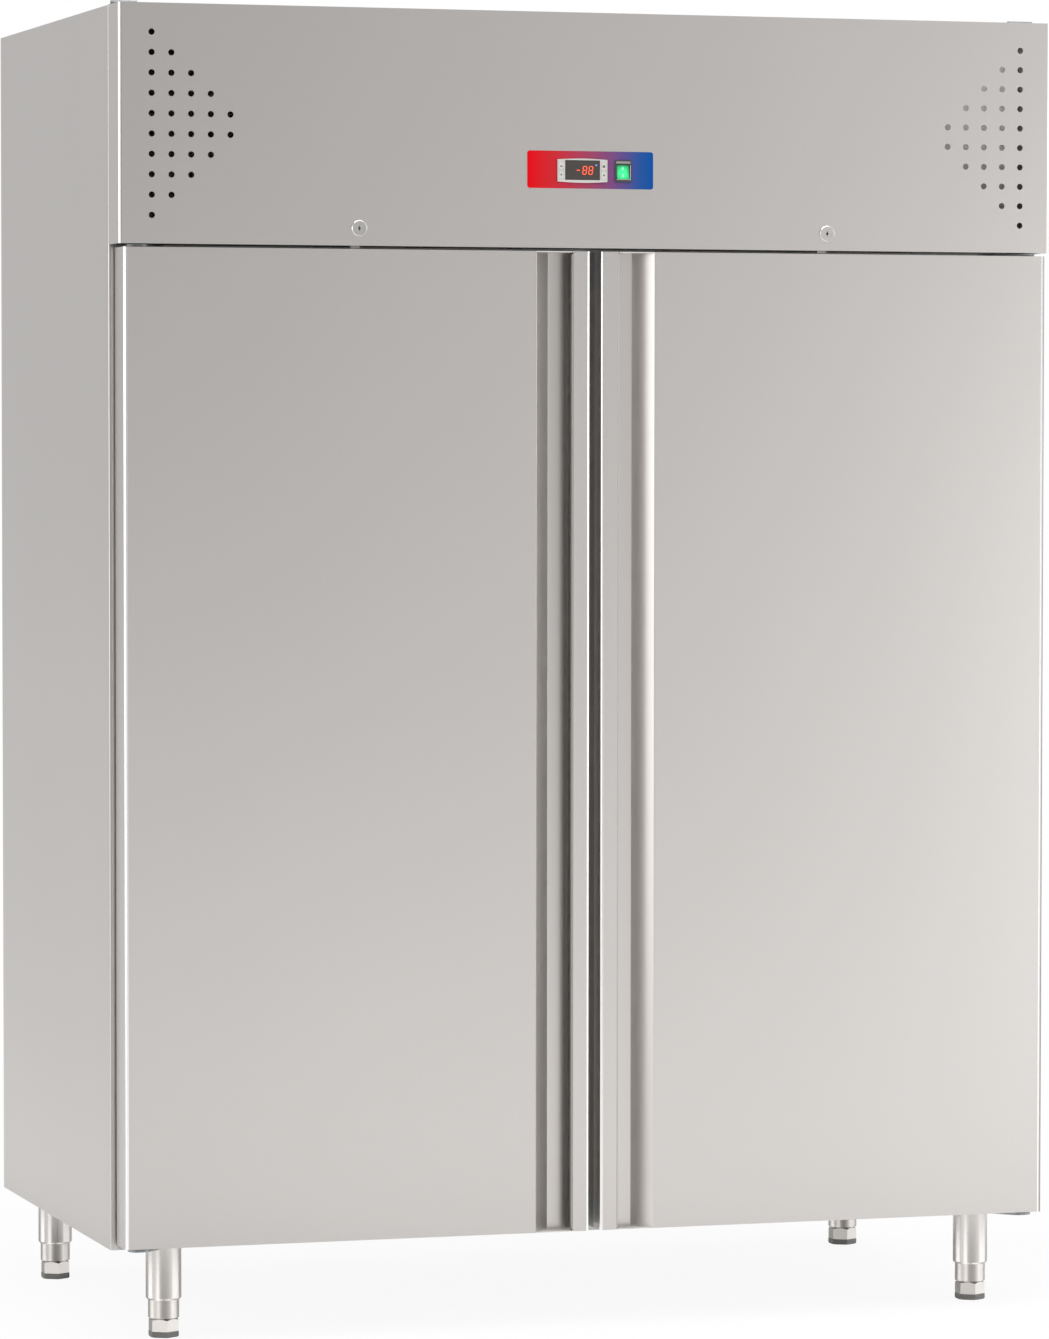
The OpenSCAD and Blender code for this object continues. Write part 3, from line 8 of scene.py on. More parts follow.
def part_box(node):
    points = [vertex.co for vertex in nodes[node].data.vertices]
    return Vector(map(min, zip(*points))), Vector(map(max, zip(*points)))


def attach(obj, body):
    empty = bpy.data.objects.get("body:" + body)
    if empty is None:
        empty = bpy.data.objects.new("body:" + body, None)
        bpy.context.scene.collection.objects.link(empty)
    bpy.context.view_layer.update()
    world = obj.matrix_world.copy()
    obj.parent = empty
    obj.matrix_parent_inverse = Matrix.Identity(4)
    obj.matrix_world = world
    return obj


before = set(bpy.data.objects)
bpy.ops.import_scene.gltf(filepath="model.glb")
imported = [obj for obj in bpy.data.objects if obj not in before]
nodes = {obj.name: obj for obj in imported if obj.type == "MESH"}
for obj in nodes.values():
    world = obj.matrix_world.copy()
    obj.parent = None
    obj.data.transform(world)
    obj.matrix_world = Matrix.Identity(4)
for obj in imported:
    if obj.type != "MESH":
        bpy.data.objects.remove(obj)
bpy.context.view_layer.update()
mm = 0.001


# Colour and node helpers

def srgb(code):
    """An sRGB hex colour as a linear RGBA tuple."""
    parts = [int(code[i:i + 2], 16) / 255 for i in (1, 3, 5)]
    linear = [c / 12.92 if c <= 0.04045 else ((c + 0.055) / 1.055) ** 2.4 for c in parts]
    return (*linear, 1.0)


def feed(tree, node, **links):
    """Fills a node's inputs, called by name or as i and a number, from values, outputs or nodes.

    A node stands for its first output.
    """
    for name, value in links.items():
        numbered = name[0] == "i" and name[1:].isdigit()
        socket = node.inputs[int(name[1:]) if numbered else name.replace("_", " ")]
        if isinstance(value, bpy.types.Node):
            value = value.outputs[0]
        if isinstance(value, bpy.types.NodeSocket):
            tree.links.new(value, socket)
        else:
            socket.default_value = value


def add(tree, kind, settings=None, **links):
    """Adds a shader node with its settings and links."""
    node = tree.nodes.new("ShaderNode" + kind)
    for name, value in (settings or {}).items():
        setattr(node, name, value)
    feed(tree, node, **links)
    return node


def material(name, colour, metallic, roughness, detail, **sockets):
    """A procedural finish: detail(tree, shader) adds its pattern to the shader's sockets."""
    made = bpy.data.materials.new(name)
    made.use_nodes = True
    tree = made.node_tree
    shader = tree.nodes["Principled BSDF"]
    feed(tree, shader, Base_Color=srgb(colour), Metallic=metallic, Roughness=roughness, **sockets)
    detail(tree, shader)
    return made


def object_place(tree, scale=(1, 1, 1)):
    """Place on the piece in metres, stretched by a scale."""
    place = add(tree, "TexCoord").outputs["Object"]
    return add(tree, "Mapping", Vector=place, Scale=scale)


def place_axes(tree):
    """Place on the piece in metres, split into X, Y and Z."""
    return add(tree, "SeparateXYZ", Vector=add(tree, "TexCoord").outputs["Object"])


def worked(tree, shader, pattern, tones=None, gloss=None, depth_mm=None, strength=1.0):
    """Lets one pattern of 0 to 1 carry the colour between two tones, the roughness and a bump."""
    if tones:
        mix = add(tree, "Mix", {"data_type": "RGBA"},
                  i0=pattern, i6=srgb(tones[0]), i7=srgb(tones[1]))
        feed(tree, shader, Base_Color=mix.outputs[2])
    if gloss:
        rough = add(tree, "MapRange", Value=pattern, To_Min=gloss[0], To_Max=gloss[1])
        feed(tree, shader, Roughness=rough)
    if depth_mm is not None:
        relief = add(tree, "Bump", Strength=strength, Distance=depth_mm * mm, Height=pattern)
        feed(tree, shader, Normal=relief)


# Surface patterns

def brushed(grain, tones, gloss, depth_mm, strips=()):
    """Brushing: scratches stretched along one axis, over slow drifts in tone from rolling.

    The grain is how many scratches a metre holds along X, Y and Z. A strip paints light or shade
    over the
    brushing along a fold or across a face: its two places across the piece in metres, its painted
    colour, and what it adds to the roughness.
    """
    scratch_share, drift_share = 0.45, 0.55
    drift_grain = (2.2, 2.2, 1.1)

    def detail(tree, shader):
        scratches = add(tree, "TexNoise", Vector=object_place(tree, grain),
                        Scale=1.0, Detail=3.0, Roughness=0.7)
        drift = add(tree, "TexNoise", Vector=object_place(tree, drift_grain), Scale=1.0, Detail=2.0)
        fine = add(tree, "Math", {"operation": "MULTIPLY"}, i0=scratches, i1=scratch_share)
        both = add(tree, "Math", {"operation": "MULTIPLY_ADD"}, i0=drift, i1=drift_share, i2=fine)
        worked(tree, shader, scratches, depth_mm=depth_mm, strength=0.6)
        colour = add(tree, "Mix", {"data_type": "RGBA"},
                     i0=both, i6=srgb(tones[0]), i7=srgb(tones[1])).outputs[2]
        rough = add(tree, "MapRange", Value=scratches, To_Min=gloss[0], To_Max=gloss[1])
        across = place_axes(tree).outputs["X"] if strips else None
        # Each strip paints light or shade over the brushed tone and changes the roughness
        for start, end, shade, rougher in strips:
            inside = add(tree, "Math", {"operation": "COMPARE"},
                         i0=across, i1=(start + end) / 2, i2=(end - start) / 2)
            colour = add(tree, "Mix", {"data_type": "RGBA"},
                         i0=inside, i6=colour, i7=srgb(shade)).outputs[2]
            rough = add(tree, "Math", {"operation": "MULTIPLY_ADD"},
                        i0=inside, i1=rougher, i2=rough)
        feed(tree, shader, Base_Color=colour, Roughness=rough)
    return detail


def speckled(size_mm, tones, gloss, depth_mm):
    """Moulded, cast or plated texture: an even grain of a real size."""
    def detail(tree, shader):
        grain = add(tree, "TexNoise", Vector=object_place(tree),
                    Scale=1 / (size_mm * mm), Detail=2.0, Roughness=0.6)
        worked(tree, shader, grain, tones, gloss, depth_mm, 0.5)
    return detail


def spangled(tree, shader):
    """Zinc crystals about 9 mm across, each with its own grey and gloss."""
    crystals_in_a_metre = 110.0
    cells = add(tree, "TexVoronoi", Vector=object_place(tree), Scale=crystals_in_a_metre)
    grey = add(tree, "SeparateColor", Color=cells.outputs["Color"])
    worked(tree, shader, grey.outputs["Red"], tones=("#A9ACAE", "#C2C5C6"))
    worked(tree, shader, grey.outputs["Green"], gloss=(0.34, 0.52))


def foamed(tree, shader):
    """Cut polyurethane foam: cells under a millimetre, drawn 2 mm wide so that they show."""
    cell_mm = 2.0
    cells = add(tree, "TexVoronoi", {"feature": "SMOOTH_F1"},
                Vector=object_place(tree), Scale=1 / (cell_mm * mm))
    worked(tree, shader, cells.outputs["Distance"], ("#D9CB98", "#F0E7C2"), depth_mm=0.4)


def foot_finish(tree, shader):
    """Turned steel with cutter marks, and a dusty rubber pad pressed on below."""
    pad_top = 8.9 * mm
    cutter_grain, dust_in_a_metre = (60, 60, 1600), 900.0
    height = place_axes(tree).outputs["Z"]
    pad = add(tree, "Math", {"operation": "LESS_THAN"}, i0=height, i1=pad_top)
    cuts = add(tree, "TexNoise", Vector=object_place(tree, cutter_grain),
               Scale=1.0, Detail=3.0, Roughness=0.7)
    dust = add(tree, "TexNoise", Vector=object_place(tree), Scale=dust_in_a_metre, Detail=2.0)
    steel = add(tree, "Mix", {"data_type": "RGBA"}, i0=cuts, i6=srgb("#B9B5B1"), i7=srgb("#C9C5C1"))
    rubber = add(tree, "Mix", {"data_type": "RGBA"},
                 i0=dust, i6=srgb("#5E5C5A"), i7=srgb("#787673"))
    colour = add(tree, "Mix", {"data_type": "RGBA"},
                 i0=pad, i6=steel.outputs[2], i7=rubber.outputs[2])
    metal = add(tree, "MapRange", Value=pad, To_Min=1.0, To_Max=0.0)
    feed(tree, shader, Base_Color=colour.outputs[2], Metallic=metal)
    worked(tree, shader, pad, gloss=(0.28, 0.6))
    worked(tree, shader, cuts, depth_mm=0.004, strength=0.6)


def printed_label(tree, shader):
    """Screen print behind clear film: red on the left runs through violet into blue."""
    print_left, print_right = -0.109, 0.091
    inks = ((0.0, "#CE0512"), (0.22, "#B92830"), (0.50, "#903F5A"),
            (0.72, "#62467A"), (0.88, "#284C8C"), (1.0, "#044A92"))
    along = add(tree, "MapRange", Value=place_axes(tree).outputs["X"],
                From_Min=print_left, From_Max=print_right)
    ramp = add(tree, "ValToRGB", Fac=along)
    stops = ramp.color_ramp.elements
    for at, _ in inks[1:-1]:
        stops.new(at)
    for stop, (at, ink) in zip(stops, inks):
        stop.position, stop.color = at, srgb(ink)
    film = add(tree, "TexNoise", Vector=object_place(tree), Scale=90.0, Detail=2.0)
    feed(tree, shader, Base_Color=ramp)
    worked(tree, shader, film, depth_mm=0.05, strength=0.3)


def pull_marks(tree, shader):
    """Drawn copper: faint lengthwise tone changes and darker heat stains."""
    stain = add(tree, "TexNoise", Vector=object_place(tree), Scale=14.0, Detail=4.0)
    worked(tree, shader, stain, ("#8A4B33", "#D08A66"), (0.22, 0.42))


def lit_cap(tree, shader):
    """Clear green cap with a lamp behind it: brightest in the middle."""
    lamp_x, lamp_z, lamp_reach = 0.043, 1.7547, 0.013
    place = place_axes(tree)
    across = add(tree, "Math", {"operation": "SUBTRACT"}, i0=place.outputs["X"], i1=lamp_x)
    up = add(tree, "Math", {"operation": "SUBTRACT"}, i0=place.outputs["Z"], i1=lamp_z)
    off_lamp = add(tree, "CombineXYZ", X=across, Z=up)
    far = add(tree, "VectorMath", {"operation": "LENGTH"}, i0=off_lamp).outputs["Value"]
    glow = add(tree, "MapRange", Value=far, From_Max=lamp_reach, To_Min=1.0, To_Max=0.0)
    light = add(tree, "Mix", {"data_type": "RGBA"}, i0=glow, i6=srgb("#0A8C50"), i7=srgb("#4CFF9C"))
    feed(tree, shader, Emission_Color=light.outputs[2])
    worked(tree, shader, glow, ("#0E9C5E", "#35F08E"))


# Sheet skins of the fascia and sides: 304 stainless, belt brushed with 240 grit. The scratches are
# about 0.1 mm wide and are drawn 1 mm wide so that they show as a fine grain.
belt_grain, belt_tones, belt_gloss = (1100, 1100, 26), ("#D0CCC9", "#D7D3D0"), (0.27, 0.31)
satin_stainless = material("satin_brushed_304_stainless", "#CCC8C5", 1.0, 0.38,
                           brushed(belt_grain, belt_tones, belt_gloss, 0.002))

# Door skins: the same sheet, with strips along its folds and over the left channel's wall that
# carry painted highlights and painted shade, most of them also smoother or rougher
painted_fold_light = (
    (0.0349, 0.0378, "#ACA8A5", 0.2),       # hem of the right pull lip: painted shade over its highlight, rougher
    (-0.0378, -0.0349, "#A6A29F", 0.2),     # hem of the left pull lip: painted shade over its highlight, rougher
    (0.0080, 0.0130, "#F6F4F2", -0.05),     # free edge of the right door: painted highlight, a little smoother
    (-0.0130, -0.0080, "#F6F4F2", -0.05),   # free edge of the left door: painted highlight, a little smoother
    (-0.0950, -0.0934, "#B0ACA9", 0.1),     # fold into the left grip channel: painted shade over its highlight, rougher
    (-0.0934, -0.0672, "#E4E2E0", 0.0),     # wall of the left channel: painted light over its shade
    (-0.7318, -0.7278, "#FFFFFF", -0.05),   # hinge edge of the left door: painted highlight, a little smoother
    (0.7264, 0.7285, "#FFFFFF", -0.05),     # hinge edge of the right door: painted highlight, a little smoother
    (0.7285, 0.7307, "#9E9C9A", 0.1),       # its round: painted shade, rougher
    (0.7307, 0.7329, "#807E7C", 0.1),       # end of the round: deeper painted shade, rougher
)
door_stainless = material("satin_stainless_of_the_doors", "#CCC8C5", 1.0, 0.38,
                          brushed(belt_grain, belt_tones, belt_gloss, 0.002, painted_fold_light))

# Inner sheets see less of the belt: duller and a little cooler
mill_grain = (500, 500, 40)
plain_stainless = material("mill_finish_430_stainless", "#C4C4C3", 1.0, 0.42,
                           brushed(mill_grain, ("#BDBDBC", "#CACAC9"), (0.38, 0.48), 0.004))
# Post between the doors: mill finish under a thin film of wax from the seals, a little warmer
post_stainless = material("waxed_mill_finish_stainless", "#D2CAC4", 1.0, 0.44,
                          brushed(mill_grain, ("#CCC4BE", "#D8D0CA"), (0.38, 0.5), 0.004))
# End plates of the doors: cast in a pale matt alloy, so they catch light from every side
cap_metal = material("bead_blasted_aluminium_casting", "#D2CFCC", 0.55, 0.55,
                     speckled(0.7, ("#CCC9C6", "#D8D5D2"), (0.5, 0.62), 0.02))
# Leg tubes: drawn stainless, polished lengthwise, so the studio shows as upright bands
drawn_stainless = material("drawn_stainless_tube", "#CBC7C4", 1.0, 0.16,
                           brushed((900, 900, 18), ("#C6C2BF", "#D2CFCC"), (0.13, 0.2), 0.002))
# Feet: hexagons turned from bar, with fine cutter marks, over grey rubber pads
turned_foot = material("turned_stainless_foot_with_rubber_pad", "#C9C6C2", 1.0, 0.28, foot_finish)
# Rivets of the case: zinc plated steel, bluish and half dull
zinc_plate = material("zinc_plated_steel", "#B4B7B8", 1.0, 0.34,
                      speckled(1.4, ("#AAADAF", "#BFC2C3"), (0.28, 0.42), 0.01))
# Hinges and hinge brackets: zinc plate under a thick passivation, darker and more matt
passivated = material("passivated_zinc_plate", "#8C8E90", 1.0, 0.46,
                      speckled(1.4, ("#838587", "#959799"), (0.42, 0.54), 0.01))
# Deck and shroud: hot dip galvanised sheet with its spangle
galvanised = material("galvanised_sheet", "#B5B8B9", 1.0, 0.42, spangled)
# Lock rings and barrels: nickel plated zinc casting, bright and smooth
bright_nickel = material("bright_nickel_plate", "#E6E4E1", 1.0, 0.13,
                         speckled(0.8, ("#E0DEDB", "#EBE9E6"), (0.10, 0.18), 0.004))
# Inside of a keyway: a nearly black plate of painted shade for the dark of the slot
keyway_shade_paint = material("painted_keyway_shade", "#4A4540", 1.0, 0.5,
                      speckled(0.5, ("#403B37", "#56504A"), (0.45, 0.6), 0.02))
# Insulation of the walls and doors: rigid polyurethane foam, cream and dry
foam = material("rigid_polyurethane_foam", "#E6DBAF", 0.0, 0.85, foamed)
# Door seals: extruded PVC, dark grey, matt and soft edged
seal_pvc = material("extruded_pvc_seal", "#66615D", 0.0, 0.6,
                    speckled(0.9, ("#5E5955", "#6E6965"), (0.52, 0.7), 0.02))
# Label plate: polycarbonate film printed from behind, deep in colour and nearly without gloss
label_print = material("screen_printed_polycarbonate", "#A02050", 0.0, 0.42, printed_label,
                       Specular_IOR_Level=0.05)
# Controller bezel: injection moulded ABS with a fine spark texture, warm grey
bezel_abs = material("spark_textured_abs", "#BDBBB7", 0.0, 0.42,
                     speckled(0.5, ("#AFADA9", "#C9C7C3"), (0.36, 0.5), 0.03))
# Keys: the same ABS from a smoother mould, a little lighter, with marks in dark ink
key_abs = material("moulded_abs_keys", "#C6C4C0", 0.0, 0.38,
                   speckled(0.5, ("#BAB8B4", "#D0CECA"), (0.32, 0.46), 0.02))
mark_abs = material("pad_printed_key_marks", "#66646A", 0.0, 0.5,
                    speckled(0.6, ("#5C5A60", "#706E74"), (0.45, 0.55), 0.01))
# Window: tinted acrylic, glossy, with a slight ripple from moulding
window_acrylic = material("smoke_tinted_acrylic", "#3B3634", 0.0, 0.16,
                          speckled(9.0, ("#373230", "#403B39"), (0.13, 0.2), 0.02),
                          Coat_Weight=0.3)
# Display: lit segments and a lit point, soft in outline and evenly bright
digit_light = material("orange_led_segments", "#FF5A2A", 0.0, 0.4,
                       speckled(0.8, ("#FF4A1E", "#FF6E3C"), (0.35, 0.5), 0.0),
                       Emission_Color=srgb("#FF4A22"), Emission_Strength=0.9)
dot_light = material("blue_led_point", "#7C86E8", 0.0, 0.4,
                     speckled(0.8, ("#6C76E0", "#8E98F2"), (0.35, 0.5), 0.0),
                     Emission_Color=srgb("#7C86E8"), Emission_Strength=0.7)
# Frame of the rocker and cord inlet: glass filled nylon, near black and satin
black_nylon = material("glass_filled_nylon", "#2E3330", 0.0, 0.44,
                       speckled(0.5, ("#282C2A", "#384039"), (0.38, 0.52), 0.02))
# Rocker: clear green polycarbonate over a lamp; paler marks on it, glowing a little, are also
# painted highlight
green_cap = material("lit_green_polycarbonate", "#1FD07A", 0.0, 0.2, lit_cap,
                     Emission_Strength=0.35, Coat_Weight=0.5)
mark_and_highlight_paint = material("cap_marks_and_painted_highlight", "#B4F2D0", 0.0, 0.3,
                    speckled(0.6, ("#A6EAC6", "#C2F8DC"), (0.25, 0.35), 0.0),
                    Emission_Color=srgb("#B4F2D0"), Emission_Strength=0.2)
# Trim of the rocker's frame, of the same nylon: a band of painted light and an edge of painted
# highlight
lit_band_paint = material("nylon_band_painted_lit", "#85807F", 0.0, 0.4,
                      speckled(0.6, ("#777271", "#93908F"), (0.34, 0.5), 0.02))
highlight_rim_paint = material("nylon_edge_painted_highlight", "#A9A5A3", 0.0, 0.3,
                     speckled(0.6, ("#9E9A98", "#B4B0AE"), (0.25, 0.4), 0.01))
# Compressor and motors: stoved black enamel, glossy with a slight orange peel
black_enamel = material("stoved_black_enamel", "#1D1E20", 0.0, 0.3,
                        speckled(1.6, ("#17181A", "#26272A"), (0.24, 0.38), 0.03),
                        Coat_Weight=0.25)
# Fins of both coils: bare rolled aluminium, pale, with rolling marks across the stack
fin_metal = material("bare_aluminium_fins", "#D0D2D3", 1.0, 0.36,
                     brushed((30, 30, 800), ("#C4C6C8", "#DADCDD"), (0.3, 0.44), 0.004))
# Refrigerant pipes: drawn copper, stained brown where it was brazed
copper = material("drawn_copper_tube", "#B8704E", 1.0, 0.3, pull_marks)
# Fan wheels: moulded polypropylene, slightly waxy
white_fan = material("moulded_white_polypropylene", "#E4E4E0", 0.0, 0.4,
                     speckled(1.0, ("#DCDCD8", "#EBEBE7"), (0.34, 0.48), 0.01))
black_fan = material("moulded_black_polypropylene", "#232427", 0.0, 0.42,
                     speckled(1.0, ("#1D1E20", "#2C2D31"), (0.36, 0.5), 0.01))
# Shelf wire: grey polyethylene powder coat over steel, with a soft orange peel
coated_wire = material("powder_coated_wire", "#C9CBCD", 0.0, 0.35,
                       speckled(1.8, ("#C0C2C4", "#D3D5D7"), (0.28, 0.42), 0.03),
                       Coat_Weight=0.3)
# Electrical box: sheet steel with a pale grey powder coat
box_coat = material("pale_powder_coated_sheet", "#D9DBDA", 0.0, 0.5,
                    speckled(1.2, ("#D2D4D3", "#E2E4E3"), (0.44, 0.58), 0.02))


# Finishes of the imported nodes

finishes = {
    satin_stainless: ["side_panel_left", "side_panel_right", "fascia_panel"],
    door_stainless: ["door_skin_left", "door_skin_right"],
    cap_metal: ["door_caps_left", "door_caps_right"],
    plain_stainless: ["back_panel", "base_panel", "inner_liner", "front_frame", "rear_grille",
                      "door_liner_left", "door_liner_right", "shelf_uprights", "shelf_runners",
                      "evaporator_cover", "lock_bolt_left", "lock_bolt_right"],
    post_stainless: ["centre_post"],
    drawn_stainless: ["leg_sleeves"],
    turned_foot: ["foot_front_left", "foot_front_right", "foot_back_left", "foot_back_right"],
    passivated: ["fascia_hinge_bases", "fascia_hinge_leaves", "door_hinge_brackets"],
    zinc_plate: ["case_rivets"],
    galvanised: ["top_deck", "condenser_shroud"],
    box_coat: ["electrical_box"],
    bright_nickel: ["lock_housings", "lock_barrel_left", "lock_barrel_right"],
    foam: ["cabinet_insulation", "door_foam_left", "door_foam_right"],
    seal_pvc: ["door_gasket_left", "door_gasket_right"],
    label_print: ["control_label"],
    bezel_abs: ["controller_housing"],
    key_abs: ["key_up", "key_down", "key_set", "key_defrost"],
    window_acrylic: ["controller_window"],
    black_nylon: ["rocker_frame", "cable_gland"],
    green_cap: ["rocker_button"],
    black_enamel: ["compressor", "fan_motors"],
    black_fan: ["condenser_fan"],
    fin_metal: ["condenser_coil", "evaporator_coil"],
    copper: ["refrigerant_pipes"],
    white_fan: ["evaporator_fan_left", "evaporator_fan_right"],
    coated_wire: ["shelves_left", "shelves_right"],
}
for finish, names in finishes.items():
    for name in names:
        nodes[name].data.materials.clear()
        nodes[name].data.materials.append(finish)


# Pieces that the scene adds. Each stands a hair proud of what carries it and is sunk into it.

print_proud, trim_proud, sunk = 0.05 * mm, 0.06 * mm, 0.2 * mm


def piece(name, verts, faces, finish, body):
    """A new mesh that rides on a body and takes the finish it is given."""
    mesh = bpy.data.meshes.new(name)
    mesh.from_pydata([tuple(v) for v in verts], [], faces)
    work = bmesh.new()
    work.from_mesh(mesh)
    bmesh.ops.remove_doubles(work, verts=work.verts, dist=1e-6)
    bmesh.ops.recalc_face_normals(work, faces=work.faces)
    work.to_mesh(mesh)
    work.free()
    mesh.materials.append(finish)
    made = bpy.data.objects.new(name, mesh)
    bpy.context.scene.collection.objects.link(made)
    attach(made, body)


def plates(name, outlines, y0, y1, finish, body, lean=0.0, about=0.0):
    """Outlines in X and Z, made into plates from y0 to y1, leaning sideways above a level."""
    verts, faces = [], []
    for outline in outlines:
        n, first = len(outline), len(verts)
        for y in (y0, y1):
            verts += [(x + lean * (z - about), y, z) for x, z in outline]
        faces.append([first + i for i in range(n)])
        faces.append([first + n + i for i in reversed(range(n))])
        faces += [[first + i, first + (i + 1) % n, first + n + (i + 1) % n, first + n + i]
                  for i in range(n)]
    piece(name, verts, faces, finish, body)


def oval(x, z, wide, high, points=24):
    """A loop of points round a centre."""
    turns = [i * math.tau / points for i in range(points)]
    return [(x + wide * math.cos(a), z + high * math.sin(a)) for a in turns]


def segment(x0, z0, x1, z1, width):
    """One bar of a digit: a long hexagon between two points."""
    start, end = Vector((x0, z0)), Vector((x1, z1))
    along = (end - start).normalized()
    side = Vector((-along.y, along.x)) * width / 2
    tip = along * width / 2
    return [tuple(p) for p in (start, start + tip + side, end - tip + side,
                               end, end - tip - side, start + tip - side)]


def digit(x, z, width, height, bars):
    """The lit bars of a seven-segment digit whose low left corner is at x, z."""
    gap, bar_w = 0.35 * mm, 1.2 * mm
    left, right, low, mid, high = x, x + width, z, z + height / 2, z + height
    all_bars = {
        "a": (left + gap, high, right - gap, high), "b": (right, high - gap, right, mid + gap),
        "c": (right, mid - gap, right, low + gap), "d": (left + gap, low, right - gap, low),
        "e": (left, mid - gap, left, low + gap), "f": (left, high - gap, left, mid + gap),
        "g": (left + gap, mid, right - gap, mid),
    }
    return [segment(*all_bars[b], bar_w) for b in bars]


# Display: a minus sign, two digits and a point, leaning a little to the right
window_low, window_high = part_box("controller_window")
window_face = window_low.y
digit_base, digit_w, digit_h, digit_lean = window_low.z + 8.6 * mm, 5.7 * mm, 11.9 * mm, 0.12
minus_x, minus_w, tens_x, units_x = -32.5 * mm, 6.2 * mm, -22.1 * mm, -12.5 * mm
point_x, point_z, point_r = -0.2 * mm, window_high.z - 7.2 * mm, 1.2 * mm
plates("display_digits",
       digit(minus_x, digit_base, minus_w, digit_h, "g")
       + digit(tens_x, digit_base, digit_w, digit_h, "abcdefg")
       + digit(units_x, digit_base, digit_w, digit_h, "abcdefg"),
       window_face - print_proud, window_face + sunk,
       digit_light, "fascia", digit_lean, digit_base)
plates("display_point", [oval(point_x, point_z, point_r, point_r, 16)],
       window_face - print_proud, window_face + sunk, dot_light, "fascia")

# Pad-printed marks on the four keys: arrows up and down, a square and a flake of three bars
mark_half, flake_bar_w = 2.1 * mm, 0.8 * mm
for name, body, shape in (("key_up", "up_key", "up"), ("key_down", "down_key", "down"),
                          ("key_set", "set_key", "square"),
                          ("key_defrost", "defrost_key", "flake")):
    low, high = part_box(name)
    x, z, s = (low.x + high.x) / 2, (low.z + high.z) / 2, mark_half
    marks = {
        "up": [[(x - s, z - s * 0.7), (x + s, z - s * 0.7), (x, z + s)]],
        "down": [[(x - s, z + s * 0.7), (x, z - s), (x + s, z + s * 0.7)]],
        "square": [[(x - s, z - s), (x + s, z - s), (x + s, z + s), (x - s, z + s)]],
        "flake": [segment(x - s * math.cos(a), z - s * math.sin(a),
                          x + s * math.cos(a), z + s * math.sin(a), flake_bar_w)
                  for a in (0, math.pi / 3, 2 * math.pi / 3)],
    }[shape]
    plates(name + "_mark", marks, low.y - print_proud, low.y + sunk, mark_abs, body)

# The keyway inside the slot and round recess of each lock barrel: a dark plate of painted shade
keyway_w, keyway_h, recess_r = 1.4 * mm, 6.8 * mm, 1.3 * mm
keyway_front, keyway_back = 0.3 * mm, 0.8 * mm
ring_low, ring_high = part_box("lock_housings")
lock_x = ring_high.x - (ring_high.z - ring_low.z) / 2
lock_z = (ring_low.z + ring_high.z) / 2
for side, x in (("left", -lock_x), ("right", lock_x)):
    barrel_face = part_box("lock_barrel_" + side)[0].y
    slot = [(x - keyway_w / 2, lock_z - keyway_h / 2), (x + keyway_w / 2, lock_z - keyway_h / 2),
            (x + keyway_w / 2, lock_z + keyway_h / 2), (x - keyway_w / 2, lock_z + keyway_h / 2)]
    plates("keyway_" + side, [slot, oval(x, lock_z, recess_r, recess_r)],
           barrel_face + keyway_front, barrel_face + keyway_back,
           keyway_shade_paint, side + "_lock_barrel")

# Marks of the rocker, moulded and also painted highlight: a ring on its upper half stands for a
# glint too, and a bar on its lower half for a streak of light.
# The upper half lies level at rest and the lower one leans out by twice the tilt.
rocker_low, rocker_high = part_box("rocker_button")
rocker_x = (rocker_low.x + rocker_high.x) / 2
ridge_z, level_y = rocker_high.z - 10.7 * mm, rocker_low.y + 2.95 * mm
lower_lean = math.radians(16)


def rocker_face(z):
    """Depth of the rocker's face at a height."""
    return level_y - max(0.0, ridge_z - z) * math.tan(lower_lean)


def raised(name, inner, outer, finish, body):
    """A closed band between two loops of X and Z, proud of the rocker's face and sunk into it."""
    n = len(inner)
    verts = []
    for loop, lift in ((inner, -trim_proud), (outer, -trim_proud), (outer, sunk), (inner, sunk)):
        verts += [(x, rocker_face(z) + lift, z) for x, z in loop]
    faces = [[k * n + i, k * n + (i + 1) % n, (k + 1) % 4 * n + (i + 1) % n, (k + 1) % 4 * n + i]
             for k in range(4) for i in range(n)]
    piece(name, verts, faces, finish, body)


ring_mark_z, bar_mark_z = ridge_z + 5.8 * mm, ridge_z - 5.2 * mm
raised("rocker_ring_mark_and_painted_glint",
       oval(rocker_x, ring_mark_z, 1.0 * mm, 1.0 * mm),
       oval(rocker_x, ring_mark_z, 1.8 * mm, 1.8 * mm),
       mark_and_highlight_paint, "rocker")
raised("rocker_bar_mark_and_painted_streak",
       oval(rocker_x, bar_mark_z, 0.1 * mm, 2.0 * mm),
       oval(rocker_x, bar_mark_z, 0.7 * mm, 3.0 * mm),
       mark_and_highlight_paint, "rocker")

# Trim of the rocker's frame: a band of painted light above the rocker and a rim of painted
# highlight at its right and below
frame_low, frame_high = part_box("rocker_frame")
band_margin, band_foot, rim_w = 1.8 * mm, 5.2 * mm, 1.1 * mm
band_left, band_right = frame_low.x + band_margin, frame_high.x - band_margin
band_low, band_high = frame_high.z - band_foot, frame_high.z - band_margin
rim_x, rim_z = rocker_high.x + 0.7 * mm, rocker_low.z - 0.3 * mm
band = [(band_left, band_low), (band_right, band_low),
        (band_right, band_high), (band_left, band_high)]
corner = [(rim_x, rocker_high.z), (rim_x, rim_z), (rocker_low.x, rim_z),
          (rocker_low.x, rim_z - rim_w), (rim_x + rim_w, rim_z - rim_w),
          (rim_x + rim_w, rocker_high.z)]
for name, outline, finish in (("rocker_frame_painted_lit_band", band, lit_band_paint),
                              ("rocker_frame_painted_highlight", corner, highlight_rim_paint)):
    plates(name, [outline], frame_low.y - trim_proud, frame_low.y + sunk,
           finish, "fascia")


# Lamps

